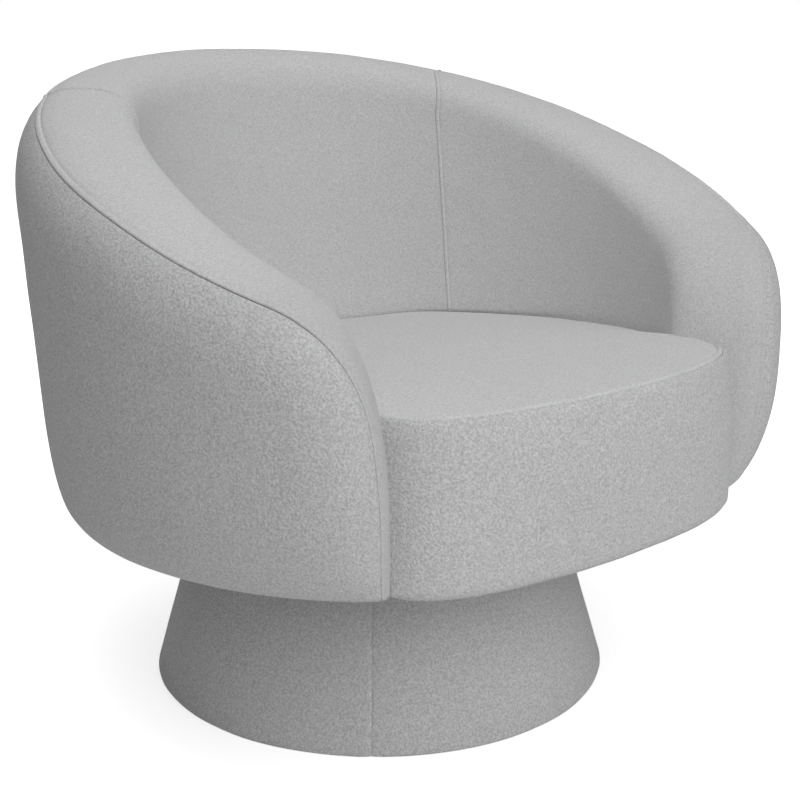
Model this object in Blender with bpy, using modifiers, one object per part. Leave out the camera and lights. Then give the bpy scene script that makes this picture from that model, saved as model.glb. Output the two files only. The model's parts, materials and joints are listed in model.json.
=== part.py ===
"""A round tub armchair that swivels on a cone base, built piece by piece.

Lengths are in metres. +Z is up, the chair faces -Y, and the origin is on the floor at the swivel axis.
The tub's wall is described by its outer face in plan, by the crest line that its top edge follows, and by
the rounded section that sits on that line. Every layer of the wall is the same shape at its own depth.
"""

import math

import bmesh
import bpy
from mathutils import Matrix, Vector

# Gaps between pieces that touch

FIT = 0.0003
SOFT_FIT = 0.0008
SEAM_GAP = 0.0006
WELD = 0.00003

# Stock sizes

FABRIC = 0.002
LINING = 0.001
BOARD = 0.018
THIN_BOARD = 0.004
WRAP_FOAM = 0.008
PAD_FOAM = 0.036

# Plan of the tub's outer face: a radius about a centre, with its slow changes round the back

TUB_RADIUS = 0.4076
TUB_CENTRE_Y = -0.0624
PLAN_SHIFT = 0.0190
PLAN_OVAL = -0.0034
PLAN_CORNER = 0.0091
PLAN_SQUARE = -0.0026
NOSE_FLARE = 0.0105
NOSE_FLARE_FROM = math.radians(109)

# Height of the tub, its lean and the way its sides draw in underneath

TUB_BOTTOM = 0.2239
LEAN = math.radians(3.4)
TAPER_HEIGHT = 0.120
TAPER_BACK = 0.008
TAPER_NOSE = 0.0545
CREST_DRAWN_SHARE = 0.2
HEM = 0.016

# Crest line, as a distance along the plan and a height: over the back, down the arm, round its nose

CREST_HEIGHT = 0.671
CREST_PULL = 0.371
ARM_ANGLE = math.radians(120.2)
ARM_HEIGHT = 0.501
ARM_SLOPE = math.radians(15)
ARM_PULL = 0.245
NOSE_PULL = 0.133
NOSE_FOOT_PULL = 0.116
NOSE_ANGLE = math.radians(137.2)
NOSE_STEEP = math.radians(52)

# Section of the wall's top edge

BACK_THICKNESS = 0.1058
ARM_EXTRA = 0.033
CREST_SHARE = 0.53
OUTER_ROUND = 0.0913
BACK_INNER_ROUND = 0.0568
ARM_INNER_ROUND = 0.0367
ROUND_FULLNESS = 2.65
SEAM_DROP = 0.010
ROLL_DEPTH = 0.030
INNER_SEAM_ANGLE = math.radians(46.67)

# Seat and its front

SEAT_OVERHANG = 0.0053
SEAT_SIDE_GAP = 0.0434
SEAT_FRONT_SPREAD = 0.0066
SEAT_FRONT_BOW = 0.0435
SEAT_CORNER_BOW = 0.031
SEAT_FOOT_BOW = 0.0257
SEAT_BELLY = 0.0072
SEAT_BELLY_RISE = 0.6
SEAT_BACK_GAP = 0.084
SEAT_FOAM_BACK = 0.055
SEAT_RISE = 0.0475
SEAT_SAG = 1.3
SEAT_CROWN = 0.028
SEAT_CENTRE_SHIFT = 0.0336
SEAT_SIDE_ANGLE = math.radians(126.5)
SEAT_REACH_SHARE = 1.05
SEAT_BITE = 0.012
WALL_SKIN = 0.045
CUT_OVERRUN = 0.004
DECK_BOARD = 0.012
DECK_SPACE = 0.0333

# Frame in the tub

RAIL_DEEP = 0.018
RAIL_INSET = 0.023
RAIL_BACKSET = 0.046
UPRIGHT_HALF = 0.009
UPRIGHT_CLEARANCE = 0.0015
UPRIGHT_BACKSET = 0.005
UPRIGHT_ANGLES = [math.radians(angle) for angle in (-104, -52, 0, 52, 104)]
BOARD_EDGE = 0.030
FRONT_RAIL = 0.022
FRONT_RAIL_HALF = 0.150
BLOCK_HALF = 0.025
BLOCK_WALL_GAP = 0.2426
BLOCK_BACK_Y = 0.12
BLOCK_FRONT_Y = -0.17
DECK_EDGE = 0.019
LINING_SETBACK = 0.003
BOARD_NOSE_ANGLE = math.radians(130.7)
BOARD_NOSE_INSET = 0.010
BOARD_FRONT_SHARES = (0.78, 0.6, 0.4, 0.2, 0.0)

# Cone base

BASE_RADIUS = 0.254
BASE_TOP_RADIUS = 0.1917
BASE_WRAP = 0.005
BASE_WALL = 0.003
BASE_HEM = 0.020
FLOOR_BOARD = 0.015
RIB_INNER = 0.060
RIB_CLEARANCE = 0.001
RIBS = 4
GLIDE_HEIGHT = 0.005
GLIDE_RADIUS = 0.012
GLIDE_EDGE = 0.001
GLIDE_INSET = 0.049
GLIDE_MARGIN = 0.003
GLIDES = 4

# Swivel

PLATE = 0.0025
PLATE_OUTER = 0.118
PLATE_INNER = 0.030
BALL_RADIUS = 0.005
BALLS = 12
RACE_RADIUS = 0.078
RACE_HALF = 0.0034
RACE_FLOOR_HALF = 0.0018
RACE_DEPTH = 0.001
CAGE_HALF = 0.009
CAGE = 0.002
BOLT_RADIUS = 0.004
BOLT_LENGTH = 0.014
BOLT_HEAD_RADIUS = 0.0075
BOLT_HEAD = 0.0032
BOLT_HOLE = 0.0045
BOLTS = 4
LOWER_BOLT_PLACE = 0.052
UPPER_BOLT_PLACE = 0.102

# Facet counts

EDGE_SPANS = 3
BOARD_SPANS = 12
FRONT_ROWS = 5
BACK_SPANS = 5
ARM_SPANS = 8
NOSE_SPANS = 4
FOOT_SPANS = 3
CREST_SAMPLES = 240
SEAT_SPANS = 16
SEAT_STEP_SHARES = (0.0, 0.35, 0.62, 0.84, 1.0)
FRONT_SPANS = 9
ROUND_STEPS = 32
BOLT_STEPS = 8
BALL_STEPS = 6
BALL_RINGS = 4

# Places worked out from the sizes above

ARM_RUN = ARM_ANGLE * TUB_RADIUS
NOSE_RUN = NOSE_ANGLE * TUB_RADIUS
INNER_SEAM_RUN = INNER_SEAM_ANGLE * TUB_RADIUS
SEAT_SIDE_RUN = SEAT_SIDE_ANGLE * TUB_RADIUS
BOARD_NOSE_RUN = BOARD_NOSE_ANGLE * TUB_RADIUS
NOSE_SHOULDER_RUN = NOSE_RUN - OUTER_ROUND
BLOCK_OUT = TUB_RADIUS - BLOCK_WALL_GAP
SEAT_FRONT_Y = TUB_CENTRE_Y + TUB_RADIUS * math.cos(NOSE_ANGLE) - SEAT_OVERHANG
SEAT_FRONT_HALF = TUB_RADIUS * math.sin(NOSE_ANGLE) - SEAT_SIDE_GAP
SEAT_BACK_Y = TUB_CENTRE_Y + TUB_RADIUS - SEAT_BACK_GAP
SEAT_CENTRE_Y = TUB_CENTRE_Y + SEAT_CENTRE_SHIFT
COVER_DEPTH = FABRIC + SOFT_FIT
ROLL_SINK = FABRIC + 2 * SOFT_FIT
WRAP_DEPTH = COVER_DEPTH + WRAP_FOAM + SOFT_FIT
PAD_DEPTH = COVER_DEPTH + PAD_FOAM + SOFT_FIT
BOARD_BOTTOM = TUB_BOTTOM + FABRIC + FIT
BOARD_TOP = BOARD_BOTTOM + BOARD
DECK_BOTTOM = BOARD_TOP + DECK_SPACE
DECK_TOP = DECK_BOTTOM + DECK_BOARD
SEAT_BACK_HEIGHT = DECK_TOP + SEAT_FOAM_BACK
SEAT_FRONT_HEIGHT = SEAT_BACK_HEIGHT + SEAT_RISE
LINER_BOTTOM = DECK_TOP + SOFT_FIT
BALL_GAP = 2 * (BALL_RADIUS + FIT - RACE_DEPTH)
UPPER_PLATE_TOP = BOARD_BOTTOM - FIT
UPPER_PLATE_BOTTOM = UPPER_PLATE_TOP - PLATE
LOWER_PLATE_TOP = UPPER_PLATE_BOTTOM - BALL_GAP
LOWER_PLATE_BOTTOM = LOWER_PLATE_TOP - PLATE
BALL_HEIGHT = (UPPER_PLATE_BOTTOM + LOWER_PLATE_TOP) / 2
TOP_BOARD_TOP = LOWER_PLATE_BOTTOM - FIT
BASE_TOP = TOP_BOARD_TOP + FIT + FABRIC
BASE_BOTTOM = GLIDE_HEIGHT - FABRIC
FLOOR_BOARD_BOTTOM = GLIDE_HEIGHT + FIT
BASE_SLOPE = (BASE_RADIUS - BASE_TOP_RADIUS) / (BASE_TOP - BASE_BOTTOM)
BASE_WALL_DEPTH = COVER_DEPTH + BASE_WRAP + SOFT_FIT
BASE_BOARD_DEPTH = BASE_WALL_DEPTH + BASE_WALL + FIT
RIB_DEPTH = BASE_BOARD_DEPTH + RIB_CLEARANCE
GLIDE_PLACE = BASE_RADIUS - GLIDE_INSET
BASE_LINING_RADIUS = GLIDE_PLACE - GLIDE_RADIUS - GLIDE_MARGIN
QUARTER = math.pi / 2
SHARP_ANGLE = math.radians(40)
TURN_SLACK = QUARTER / 900

# Colours and finishes

FINISHES = {
    "fabric": ((0.47, 0.47, 0.48), 0.9, 0.0),
    "foam": ((0.86, 0.82, 0.66), 0.95, 0.0),
    "plywood": ((0.66, 0.50, 0.33), 0.7, 0.0),
    "lining": ((0.05, 0.05, 0.05), 0.95, 0.0),
    "steel": ((0.42, 0.43, 0.45), 0.35, 1.0),
    "nylon": ((0.08, 0.08, 0.08), 0.5, 0.0),
}


# Scene helpers

def clear_scene():
    """Remove what the scene opens with."""
    for item in list(bpy.data.objects):
        bpy.data.objects.remove(item, do_unlink=True)


def new_collection(name):
    collection = bpy.data.collections.new(name)
    bpy.context.scene.collection.children.link(collection)
    return collection


def new_material(name, finish):
    colour, roughness, metallic = FINISHES[finish]
    material = bpy.data.materials.new(name)
    material.use_nodes = True
    shader = material.node_tree.nodes["Principled BSDF"]
    shader.inputs["Base Color"].default_value = (*colour, 1.0)
    shader.inputs["Roughness"].default_value = roughness
    shader.inputs["Metallic"].default_value = metallic
    return material


class Group:
    """A collection and the parent that its pieces move with."""

    def __init__(self, collection, parent=None):
        self.collection = collection
        self.parent = parent

    def add(self, name, data, finish=None):
        item = bpy.data.objects.new(name, data)
        self.collection.objects.link(item)
        item.parent = self.parent
        if finish:
            data.materials.append(new_material(name, finish))
        return item

    def add_mesh(self, name, bm, finish=None):
        mesh = bpy.data.meshes.new(name)
        bm.to_mesh(mesh)
        bm.free()
        mesh.shade_smooth()
        mesh.set_sharp_from_angle(angle=SHARP_ANGLE)
        return self.add(name, mesh, finish)

    def add_cutter(self, name, bm):
        item = self.add_mesh(name, bm)
        item.hide_render = True
        item.display_type = "WIRE"
        return item


def add_mirror(item):
    mirror = item.modifiers.new("Mirror", "MIRROR")
    mirror.use_axis = (True, False, False)
    mirror.merge_threshold = WELD


def add_boolean(item, other, operation="DIFFERENCE"):
    cut = item.modifiers.new("Cut", "BOOLEAN")
    cut.operation = operation
    cut.solver = "EXACT"
    cut.object = other


# Shape of the tub

def plan_point(angle):
    """A point of the outer face in plan and its outward normal, at an angle from the back."""
    radius = TUB_RADIUS + PLAN_SHIFT * math.cos(angle) + PLAN_OVAL * math.cos(2 * angle)
    radius += PLAN_CORNER * math.cos(3 * angle) + PLAN_SQUARE * math.cos(4 * angle)
    slope = -PLAN_SHIFT * math.sin(angle) - 2 * PLAN_OVAL * math.sin(2 * angle)
    slope -= 3 * PLAN_CORNER * math.sin(3 * angle) + 4 * PLAN_SQUARE * math.sin(4 * angle)
    outward = Vector((math.sin(angle), math.cos(angle)))
    along = Vector((math.cos(angle), -math.sin(angle)))
    tangent = (slope * outward + radius * along).normalized()
    return outward * radius + Vector((0, TUB_CENTRE_Y)), Vector((-tangent.y, tangent.x))


def foot_taper(angle):
    """How far the side has drawn in at the underside: a little at the back, most at the arm's nose."""
    share = (1 - math.cos(angle)) / (1 - math.cos(NOSE_ANGLE))
    return TAPER_BACK + (TAPER_NOSE - TAPER_BACK) * share**2


def inset(angle, height, share):
    """How far a face stands inside its plan: the lean, the drawn-in foot and the nose's flare."""
    low = min(max((TUB_BOTTOM + TAPER_HEIGHT - height) / TAPER_HEIGHT, 0.0), 1.0)
    flare = max(angle - NOSE_FLARE_FROM, 0.0) / (NOSE_ANGLE - NOSE_FLARE_FROM)
    drawn = foot_taper(angle) * (1 - math.sqrt(1 - low * low)) * share
    return math.tan(LEAN) * (CREST_HEIGHT - height) + drawn - NOSE_FLARE * flare**2


def thickness(run):
    return BACK_THICKNESS + ARM_EXTRA * math.sin(run / TUB_RADIUS) ** 2


def wall_point(side, run, height, depth, drawn=1.0):
    """A point of the wall: a distance along the plan, a height and a depth inward from the outer face.

    Drawn is the share of the foot's taper that the point takes: all on the outer side, none inside.
    """
    point, normal = plan_point(run / TUB_RADIUS)
    point = point - normal * (inset(run / TUB_RADIUS, height, drawn) + depth)
    return Vector((side * point.x, point.y, height))


def bezier(start, first, second, end, share):
    rest = 1 - share
    return rest**3 * start + 3 * rest**2 * share * first + 3 * rest * share**2 * second + share**3 * end


def crest_line():
    """The crest as points (run, height), from the middle of the back to the arm's foot."""
    back = Vector((0, CREST_HEIGHT))
    knee = Vector((ARM_RUN, ARM_HEIGHT))
    foot = Vector((NOSE_RUN, TUB_BOTTOM))
    fall = Vector((math.cos(ARM_SLOPE), -math.sin(ARM_SLOPE)))
    level = back + Vector((CREST_PULL, 0))
    above = foot + Vector((0, NOSE_FOOT_PULL))
    shares = [i / CREST_SAMPLES for i in range(CREST_SAMPLES + 1)]
    rim = [bezier(back, level, knee - fall * ARM_PULL, knee, share) for share in shares]
    nose = [bezier(knee, knee + fall * NOSE_PULL, above, foot, share) for share in shares]
    return rim + nose[1:]


def crest_directions(line):
    """The unit direction at each point of the crest: level at the back, straight down at the foot."""
    middle = [(after - before).normalized() for before, after in zip(line, line[2:])]
    return [Vector((1, 0))] + middle + [Vector((0, -1))]


CREST = crest_line()
CREST_WAYS = crest_directions(CREST)


def first_sample(test):
    """The first point of the crest that passes a test of its place and direction."""
    return next(i for i, (point, way) in enumerate(zip(CREST, CREST_WAYS)) if test(point, way))


def spread(start, end, count):
    return [round(start + (end - start) * i / count) for i in range(count)]


def choose_stations():
    """The samples of the crest at which the wall is sectioned, in four stretches."""
    seam = first_sample(lambda point, way: point.x >= INNER_SEAM_RUN)
    turn = first_sample(lambda point, way: way.y <= -math.sin(NOSE_STEEP))
    deck = first_sample(lambda point, way: point.y - way.x * ARM_INNER_ROUND <= LINER_BOTTOM) - 1
    last = len(CREST) - 1
    samples = spread(0, seam, BACK_SPANS) + spread(seam, turn, ARM_SPANS)
    return samples + spread(turn, deck, NOSE_SPANS) + spread(deck, last, FOOT_SPANS) + [last]


STATIONS = choose_stations()
SEAM_STATION = BACK_SPANS
TURN_STATION = BACK_SPANS + ARM_SPANS
DECK_STATION = TURN_STATION + NOSE_SPANS
LAST_STATION = DECK_STATION + FOOT_SPANS


def inner_round(run):
    share = min(run / (QUARTER * TUB_RADIUS), 1.0)
    return BACK_INNER_ROUND + (ARM_INNER_ROUND - BACK_INNER_ROUND) * share


def drop_turn(drop, height):
    """The turn from the crest at which a rounded edge of some height has fallen by a drop."""
    return math.acos(max(1 - drop / height, 0.0) ** (ROUND_FULLNESS / 2))


def drawn_share(turn, across):
    """The foot's taper that the rounded edge takes: all at the outer shoulder, none at the inner one."""
    rest = CREST_DRAWN_SHARE * (1 - across**2)
    return rest + across**2 if turn < 0 else rest


def section(station, turn, sink=0.0):
    """Where the rounded edge stands, as (run, height, depth, drawn share).

    The turn is 0 at the crest, negative outward and positive inward, a quarter turn at each shoulder.
    The sink moves the point straight into the wall, for the layers under the cover.
    """
    point, way = CREST[STATIONS[station]], CREST_WAYS[STATIONS[station]]
    share = CREST_SHARE if turn < 0 else 1 - CREST_SHARE
    height = OUTER_ROUND if turn < 0 else inner_round(point.x)
    across = math.sin(abs(turn)) ** (2 / ROUND_FULLNESS)
    rise = max(math.cos(turn), 0.0) ** (2 / ROUND_FULLNESS)
    steep = across ** (ROUND_FULLNESS - 1) / (share * thickness(point.x))
    level = rise ** (ROUND_FULLNESS - 1) / height
    size = math.hypot(steep, level)
    drop = height * (1 - rise) + sink * level / size
    run = point.x + way.y * drop
    reach = share * across * thickness(run) - sink * steep / size
    middle = CREST_SHARE * thickness(run)
    place = middle - reach if turn < 0 else middle + reach
    return run, point.y - way.x * drop, place, drawn_share(turn, across)


def main_turns():
    """The turns at which the rounded edge is faceted, with one of them on the seam."""
    seam = drop_turn(SEAM_DROP, OUTER_ROUND)
    outer = [-seam - (QUARTER - seam) * i / EDGE_SPANS for i in range(EDGE_SPANS, -1, -1)]
    return outer + [-seam / 2] + [QUARTER * i / (EDGE_SPANS + 1) for i in range(EDGE_SPANS + 2)]


EDGE_TURNS = main_turns()


def edge_turns(low, high):
    """The turns of the facets between two ends."""
    return [low] + [turn for turn in EDGE_TURNS if low + TURN_SLACK < turn < high - TURN_SLACK] + [high]


def edge_point(side, station, turn, sink=0.0):
    """A point on the facets of the rounded edge, or of a layer below it."""
    index = next(i for i, limit in enumerate(EDGE_TURNS[1:], 1) if turn <= limit + TURN_SLACK)
    low, high = EDGE_TURNS[index - 1 : index + 1]
    start = wall_point(side, *section(station, low, sink))
    return start.lerp(wall_point(side, *section(station, high, sink)), (turn - low) / (high - low))


def inner_point(side, run, height, depth):
    """A point at a depth behind the inner face."""
    return wall_point(side, run, height, thickness(run) - depth, 0.0)


def end_level(near, far, level):
    """Move a last row of points along its way from the row before, to end at a level."""
    moved = []
    for before, last in zip(near, far):
        moved.append(last.lerp(before, (level - last.z) / (before.z - last.z)))
    return moved


LINER_LEVEL = section(DECK_STATION, QUARTER)[1]


def patch(rim, columns):
    """A grid of (run, height) that fills the wall below a rim which runs forward and then down.

    The rim's first stretch is the grid's top and the rest is its front edge.
    """
    rows = len(rim) - 1 - columns
    top, front = rim[: columns + 1], rim[columns:]
    start, corner, end = top[0], front[0], front[-1]
    low_start = (start[0], end[1])
    grid = []
    for i in range(columns + 1):
        u = i / columns
        line = []
        for j in range(rows + 1):
            v = j / rows
            blend = []
            for k in (0, 1):
                back = start[k] * (1 - v) + low_start[k] * v
                low = low_start[k] * (1 - u) + end[k] * u
                value = (1 - v) * top[i][k] + v * low + (1 - u) * back + u * front[j][k]
                value -= (1 - v) * ((1 - u) * start[k] + u * corner[k])
                value -= v * ((1 - u) * low_start[k] + u * end[k])
                blend.append(value)
            line.append(tuple(blend))
        grid.append(line)
    return grid


def shoulder(turn, first, last):
    """One shoulder of the rounded edge, as (run, height), for some stations."""
    return [section(station, turn)[:2] for station in range(first, last + 1)]


# Surfaces from rows of points

def add_grid(bm, grid, flip):
    """Add a grid of points as triangles, split the same way all over."""
    rows = [[bm.verts.new(point) for point in line] for line in grid]
    for near, far in zip(rows, rows[1:]):
        for j in range(len(near) - 1):
            a, b, c, d = near[j], far[j], far[j + 1], near[j + 1]
            for corners in ((a, b, c), (a, c, d)):
                bm.faces.new(corners[::-1] if flip else corners)
    return rows


def layer(faces, backs, flip):
    """A closed layer between two matching sets of grids, left open where it meets the mirror plane."""
    bm = bmesh.new()
    behind = bm.verts.layers.float_vector.new("behind")
    for face, back in zip(faces, backs):
        for line, points in zip(add_grid(bm, face, flip), back):
            for vert, point in zip(line, points):
                vert[behind] = point
    bmesh.ops.remove_doubles(bm, verts=bm.verts, dist=WELD)
    fronts = list(bm.faces)
    open_edges = [edge for edge in bm.edges if edge.is_boundary]
    rim = [edge for edge in open_edges if max(abs(vert.co.x) for vert in edge.verts) > WELD]
    partner = {vert: bm.verts.new(vert[behind]) for vert in list(bm.verts)}
    for face in fronts:
        bm.faces.new([partner[vert] for vert in reversed(face.verts)])
    for edge in rim:
        loop = edge.link_loops[0]
        near, far = loop.vert, loop.link_loop_next.vert
        bm.faces.new((far, near, partner[near]))
        bm.faces.new((far, partner[near], partner[far]))
    bm.verts.layers.float_vector.remove(behind)
    return bm


def closed_loft(rings, flip=False):
    """A solid from closed rings of points, with a flat cap at each end."""
    bm = bmesh.new()
    add_grid(bm, [ring + ring[:1] for ring in rings], flip)
    bmesh.ops.remove_doubles(bm, verts=bm.verts, dist=WELD)
    for ring in (rings[0], rings[-1]):
        open_edges = [edge for edge in bm.edges if edge.is_boundary]
        loop = [edge for edge in open_edges if all(on_ring(vert, ring) for vert in edge.verts)]
        bmesh.ops.triangle_fill(bm, edges=loop, use_beauty=True)
    bmesh.ops.recalc_face_normals(bm, faces=bm.faces)
    return bm


def on_ring(vert, ring):
    return min((vert.co - point).length for point in ring) < WELD


# Rows of points for the wall's layers

def outer_edge_grid(side, drop, depth, level):
    """The rounded edge outside a drop from the crest, down to the outer shoulder."""
    turns = edge_turns(-QUARTER, -drop_turn(drop, OUTER_ROUND))[::-1]
    grid = [[edge_point(side, k, turn, depth) for turn in turns] for k in range(LAST_STATION + 1)]
    grid[-1] = end_level(grid[-2], grid[-1], level)
    return grid


def outer_wall_grid(side, depth, level):
    rim = shoulder(-QUARTER, 0, LAST_STATION)
    grid = [[wall_point(side, *place, depth) for place in line] for line in patch(rim, TURN_STATION)]
    for line in grid:
        line[-1] = end_level(line[-2:-1], line[-1:], level)[0]
    return grid


def inner_turns(station, outer_drop, inner_drop):
    """Turns to the inner shoulder, from a drop outside the crest or, without one, inside it."""
    if outer_drop:
        return edge_turns(-drop_turn(outer_drop, OUTER_ROUND), QUARTER)
    return edge_turns(drop_turn(inner_drop, inner_round(CREST[STATIONS[station]].x)), QUARTER)


def inner_edge_grid(side, stations, drops, depth):
    return [[edge_point(side, k, turn, depth) for turn in inner_turns(k, *drops)] for k in stations]


def inner_wall_grid(side, first, last, depth):
    """The inner wall below its shoulder: straight down at the back, fanned out to the arm's nose."""
    rim = shoulder(QUARTER, first, last)
    if last > SEAM_STATION:
        grid = patch(rim, TURN_STATION - first)
    else:
        steps = [j / NOSE_SPANS for j in range(NOSE_SPANS + 1)]
        grid = [[(run, height + (LINER_LEVEL - height) * step) for step in steps] for run, height in rim]
    return [[inner_point(side, *place, depth) for place in line] for line in grid]


def seam_shift(side):
    """The step that opens the gap of an inner seam."""
    here = wall_point(side, INNER_SEAM_RUN, CREST_HEIGHT, 0)
    return (wall_point(side, INNER_SEAM_RUN + SEAM_GAP, CREST_HEIGHT, 0) - here).normalized() * SEAM_GAP


def open_seam(grid, side):
    """Move the first line of an arm's grid off the seam."""
    return [[point + seam_shift(side) for point in grid[0]]] + grid[1:] if side else grid


# Pieces of the wall

INNER_PARTS = ((0, "back"), (-1, "left_arm"), (1, "right_arm"))


def hem_grid(wall, edge, depth, level):
    """The outer cover's turn-under, along the foot of the wall and round the nose."""
    foot = [line[-1] for line in wall] + list(reversed(edge[-1]))[1:]
    rim = shoulder(-QUARTER, 0, LAST_STATION)
    inside = [wall_point(1, *line[-1], HEM) for line in patch(rim, TURN_STATION)]
    turns = edge_turns(-QUARTER, -drop_turn(SEAM_DROP + SEAM_GAP / 2, OUTER_ROUND))[1:]
    inside += [edge_point(1, LAST_STATION, turn, HEM) for turn in turns]
    return [[outer, Vector((point.x, point.y, level))] for outer, point in zip(foot, inside)]


def build_outer_layers(tub):
    """Cover, padding and board of the outer side, each in one piece round the back and both arms."""
    for name, finish, size, depth, drop, level in (
        ("outer_cover", "fabric", FABRIC, 0.0, SEAM_DROP + SEAM_GAP / 2, TUB_BOTTOM),
        ("outer_padding", "foam", WRAP_FOAM, COVER_DEPTH, ROLL_DEPTH + SOFT_FIT, BOARD_BOTTOM),
        ("outer_panel", "plywood", THIN_BOARD, WRAP_DEPTH, None, BOARD_BOTTOM),
    ):
        hemmed = name == "outer_cover"
        faces = []
        for step in (0.0, size):
            bottom = level + step if hemmed else level
            grids = [outer_wall_grid(1, depth + step, bottom)]
            if drop:
                grids.append(outer_edge_grid(1, drop, depth + step, bottom))
            if hemmed:
                grids.append(hem_grid(*grids, depth + step, bottom))
            faces.append(grids)
        add_mirror(tub.add_mesh(name, layer(*faces, False), finish))


def build_inner_layers(tub):
    """Cover, thick pad and board of the inner side: one of each for the back and for each arm."""
    for side, part in INNER_PARTS:
        first = SEAM_STATION if side else 0
        last = DECK_STATION if side else SEAM_STATION
        for kind, finish, size, depth, drops in (
            ("_cover", "fabric", FABRIC, 0.0, (SEAM_DROP - SEAM_GAP / 2, 0.0)),
            ("_pad", "foam", PAD_FOAM, COVER_DEPTH, (0.0, ROLL_DEPTH + SOFT_FIT)),
            ("_inner_panel", "plywood", THIN_BOARD, PAD_DEPTH, None),
        ):
            edge_end = LAST_STATION if side and kind == "_cover" else last
            faces = []
            for level in (depth, depth + size):
                grids = [inner_wall_grid(side or 1, first, last, level)]
                if drops:
                    grids.append(inner_edge_grid(side or 1, range(first, edge_end + 1), drops, level))
                faces.append([open_seam(grid, side) for grid in grids])
            item = tub.add_mesh(part + kind, layer(*faces, side >= 0), finish)
            if side == 0:
                add_mirror(item)


def roll_ring(side, station):
    """The foam roll's section: the rounded edge under the cover, closed by a flat base."""
    outer_end = drop_turn(ROLL_DEPTH, OUTER_ROUND)
    inner_end = drop_turn(ROLL_DEPTH, inner_round(CREST[STATIONS[station]].x))
    return [edge_point(side, station, turn, ROLL_SINK) for turn in edge_turns(-outer_end, inner_end)]


def rail_ring(side, station):
    """The rail's section: a flat board close under the roll."""
    point, way = CREST[STATIONS[station]], CREST_WAYS[STATIONS[station]]
    top = ROLL_DEPTH + COVER_DEPTH + SOFT_FIT
    ring = []
    for drop, inner in ((top, False), (top, True), (top + RAIL_DEEP, True), (top + RAIL_DEEP, False)):
        run, height = point.x + way.y * drop, max(point.y - way.x * drop, DECK_TOP + FIT)
        if inner:
            ring.append(inner_point(side, run, height, RAIL_BACKSET))
        else:
            ring.append(wall_point(side, run, height, RAIL_INSET))
    return ring


def build_rolls_and_rails(tub):
    for kind, finish, ring_of, nose_end in (
        ("_roll", "foam", roll_ring, LAST_STATION - 1),
        ("_rail", "plywood", rail_ring, DECK_STATION),
    ):
        for side, part in INNER_PARTS:
            stations = range(SEAM_STATION, nose_end + 1) if side else range(SEAM_STATION + 1)
            rings = [ring_of(side or 1, station) for station in stations]
            if side == 0:
                rings = [[Vector((-p.x, p.y, p.z)) for p in ring] for ring in rings[:0:-1]] + rings
            tub.add_mesh(part + kind, closed_loft(open_seam(rings, side)), finish)


def rail_underside(run):
    """The height of the rail's lower face at a distance along the plan."""
    drop = ROLL_DEPTH + COVER_DEPTH + SOFT_FIT + RAIL_DEEP
    places = [(point.x + way.y * drop, point.y - way.x * drop) for point, way in zip(CREST, CREST_WAYS)]
    return next(height for place, height in places if place >= run)


def build_uprights(tub):
    """Posts between the deck and the rails, in the space between the outer and the inner boards."""
    outer = WRAP_DEPTH + THIN_BOARD + UPRIGHT_BACKSET
    inner = PAD_DEPTH + THIN_BOARD + SOFT_FIT
    for index, angle in enumerate(UPRIGHT_ANGLES):
        side = -1 if angle < 0 else 1
        middle = abs(angle) * TUB_RADIUS
        runs = (middle - UPRIGHT_HALF, middle + UPRIGHT_HALF)
        rings = []
        for share in (0.0, 0.5, 1.0):
            ring = []
            for run, inside in ((runs[0], False), (runs[1], False), (runs[1], True), (runs[0], True)):
                top = rail_underside(max(run, UPRIGHT_HALF)) - UPRIGHT_CLEARANCE
                height = DECK_TOP + FIT + share * (top - DECK_TOP - FIT)
                place, depth = (inner_point, inner) if inside else (wall_point, outer)
                ring.append(place(side, run, height, depth))
            rings.append(ring)
        tub.add_mesh(f"upright_{index + 1}", closed_loft(rings), "plywood")


# The seat

def seat_level(y):
    """The height of the seat's edge: it rises from the back to the front."""
    share = (SEAT_BACK_Y - y) / (SEAT_BACK_Y - SEAT_FRONT_Y)
    return SEAT_BACK_HEIGHT + (SEAT_FRONT_HEIGHT - SEAT_BACK_HEIGHT) * min(max(share, 0.0), 1.0) ** SEAT_SAG


def seam_level(u):
    """The height of the seat's front seam, at a share of the front's half width."""
    return seat_level(SEAT_FRONT_Y + SEAT_FRONT_BOW * u**2 + SEAT_CORNER_BOW * u**4)


def seat_front(u, level):
    """The seat's front face, at a share of its half width and a height."""
    fall = (seam_level(u) - level) / (seam_level(u) - TUB_BOTTOM)
    bow = SEAT_FRONT_BOW * (1 - fall) + SEAT_FOOT_BOW * fall
    y = SEAT_FRONT_Y + bow * u**2 + SEAT_CORNER_BOW * u**4
    y -= SEAT_BELLY * math.sin(math.pi * min(max(fall, 0.0), 1.0) ** SEAT_BELLY_RISE)
    return Vector(((SEAT_FRONT_HALF + SEAT_FRONT_SPREAD * fall) * u, y, level))


def seat_edge():
    """Half of the seat top's edge, from the middle of the back round to the middle of the front.

    The points along the wall reach a little into it, to be trimmed by it.
    """
    wall = []
    for i in range(SEAT_SPANS + 1):
        run = SEAT_SIDE_RUN * i / SEAT_SPANS
        height = seat_level(inner_point(1, run, SEAT_BACK_HEIGHT, SEAT_BITE).y)
        wall.append(inner_point(1, run, height, SEAT_BITE))
    shares = [SEAT_REACH_SHARE * (1 - i / FRONT_SPANS) for i in range(FRONT_SPANS + 1)]
    return wall, [seat_front(u, seam_level(u)) for u in shares]


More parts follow.
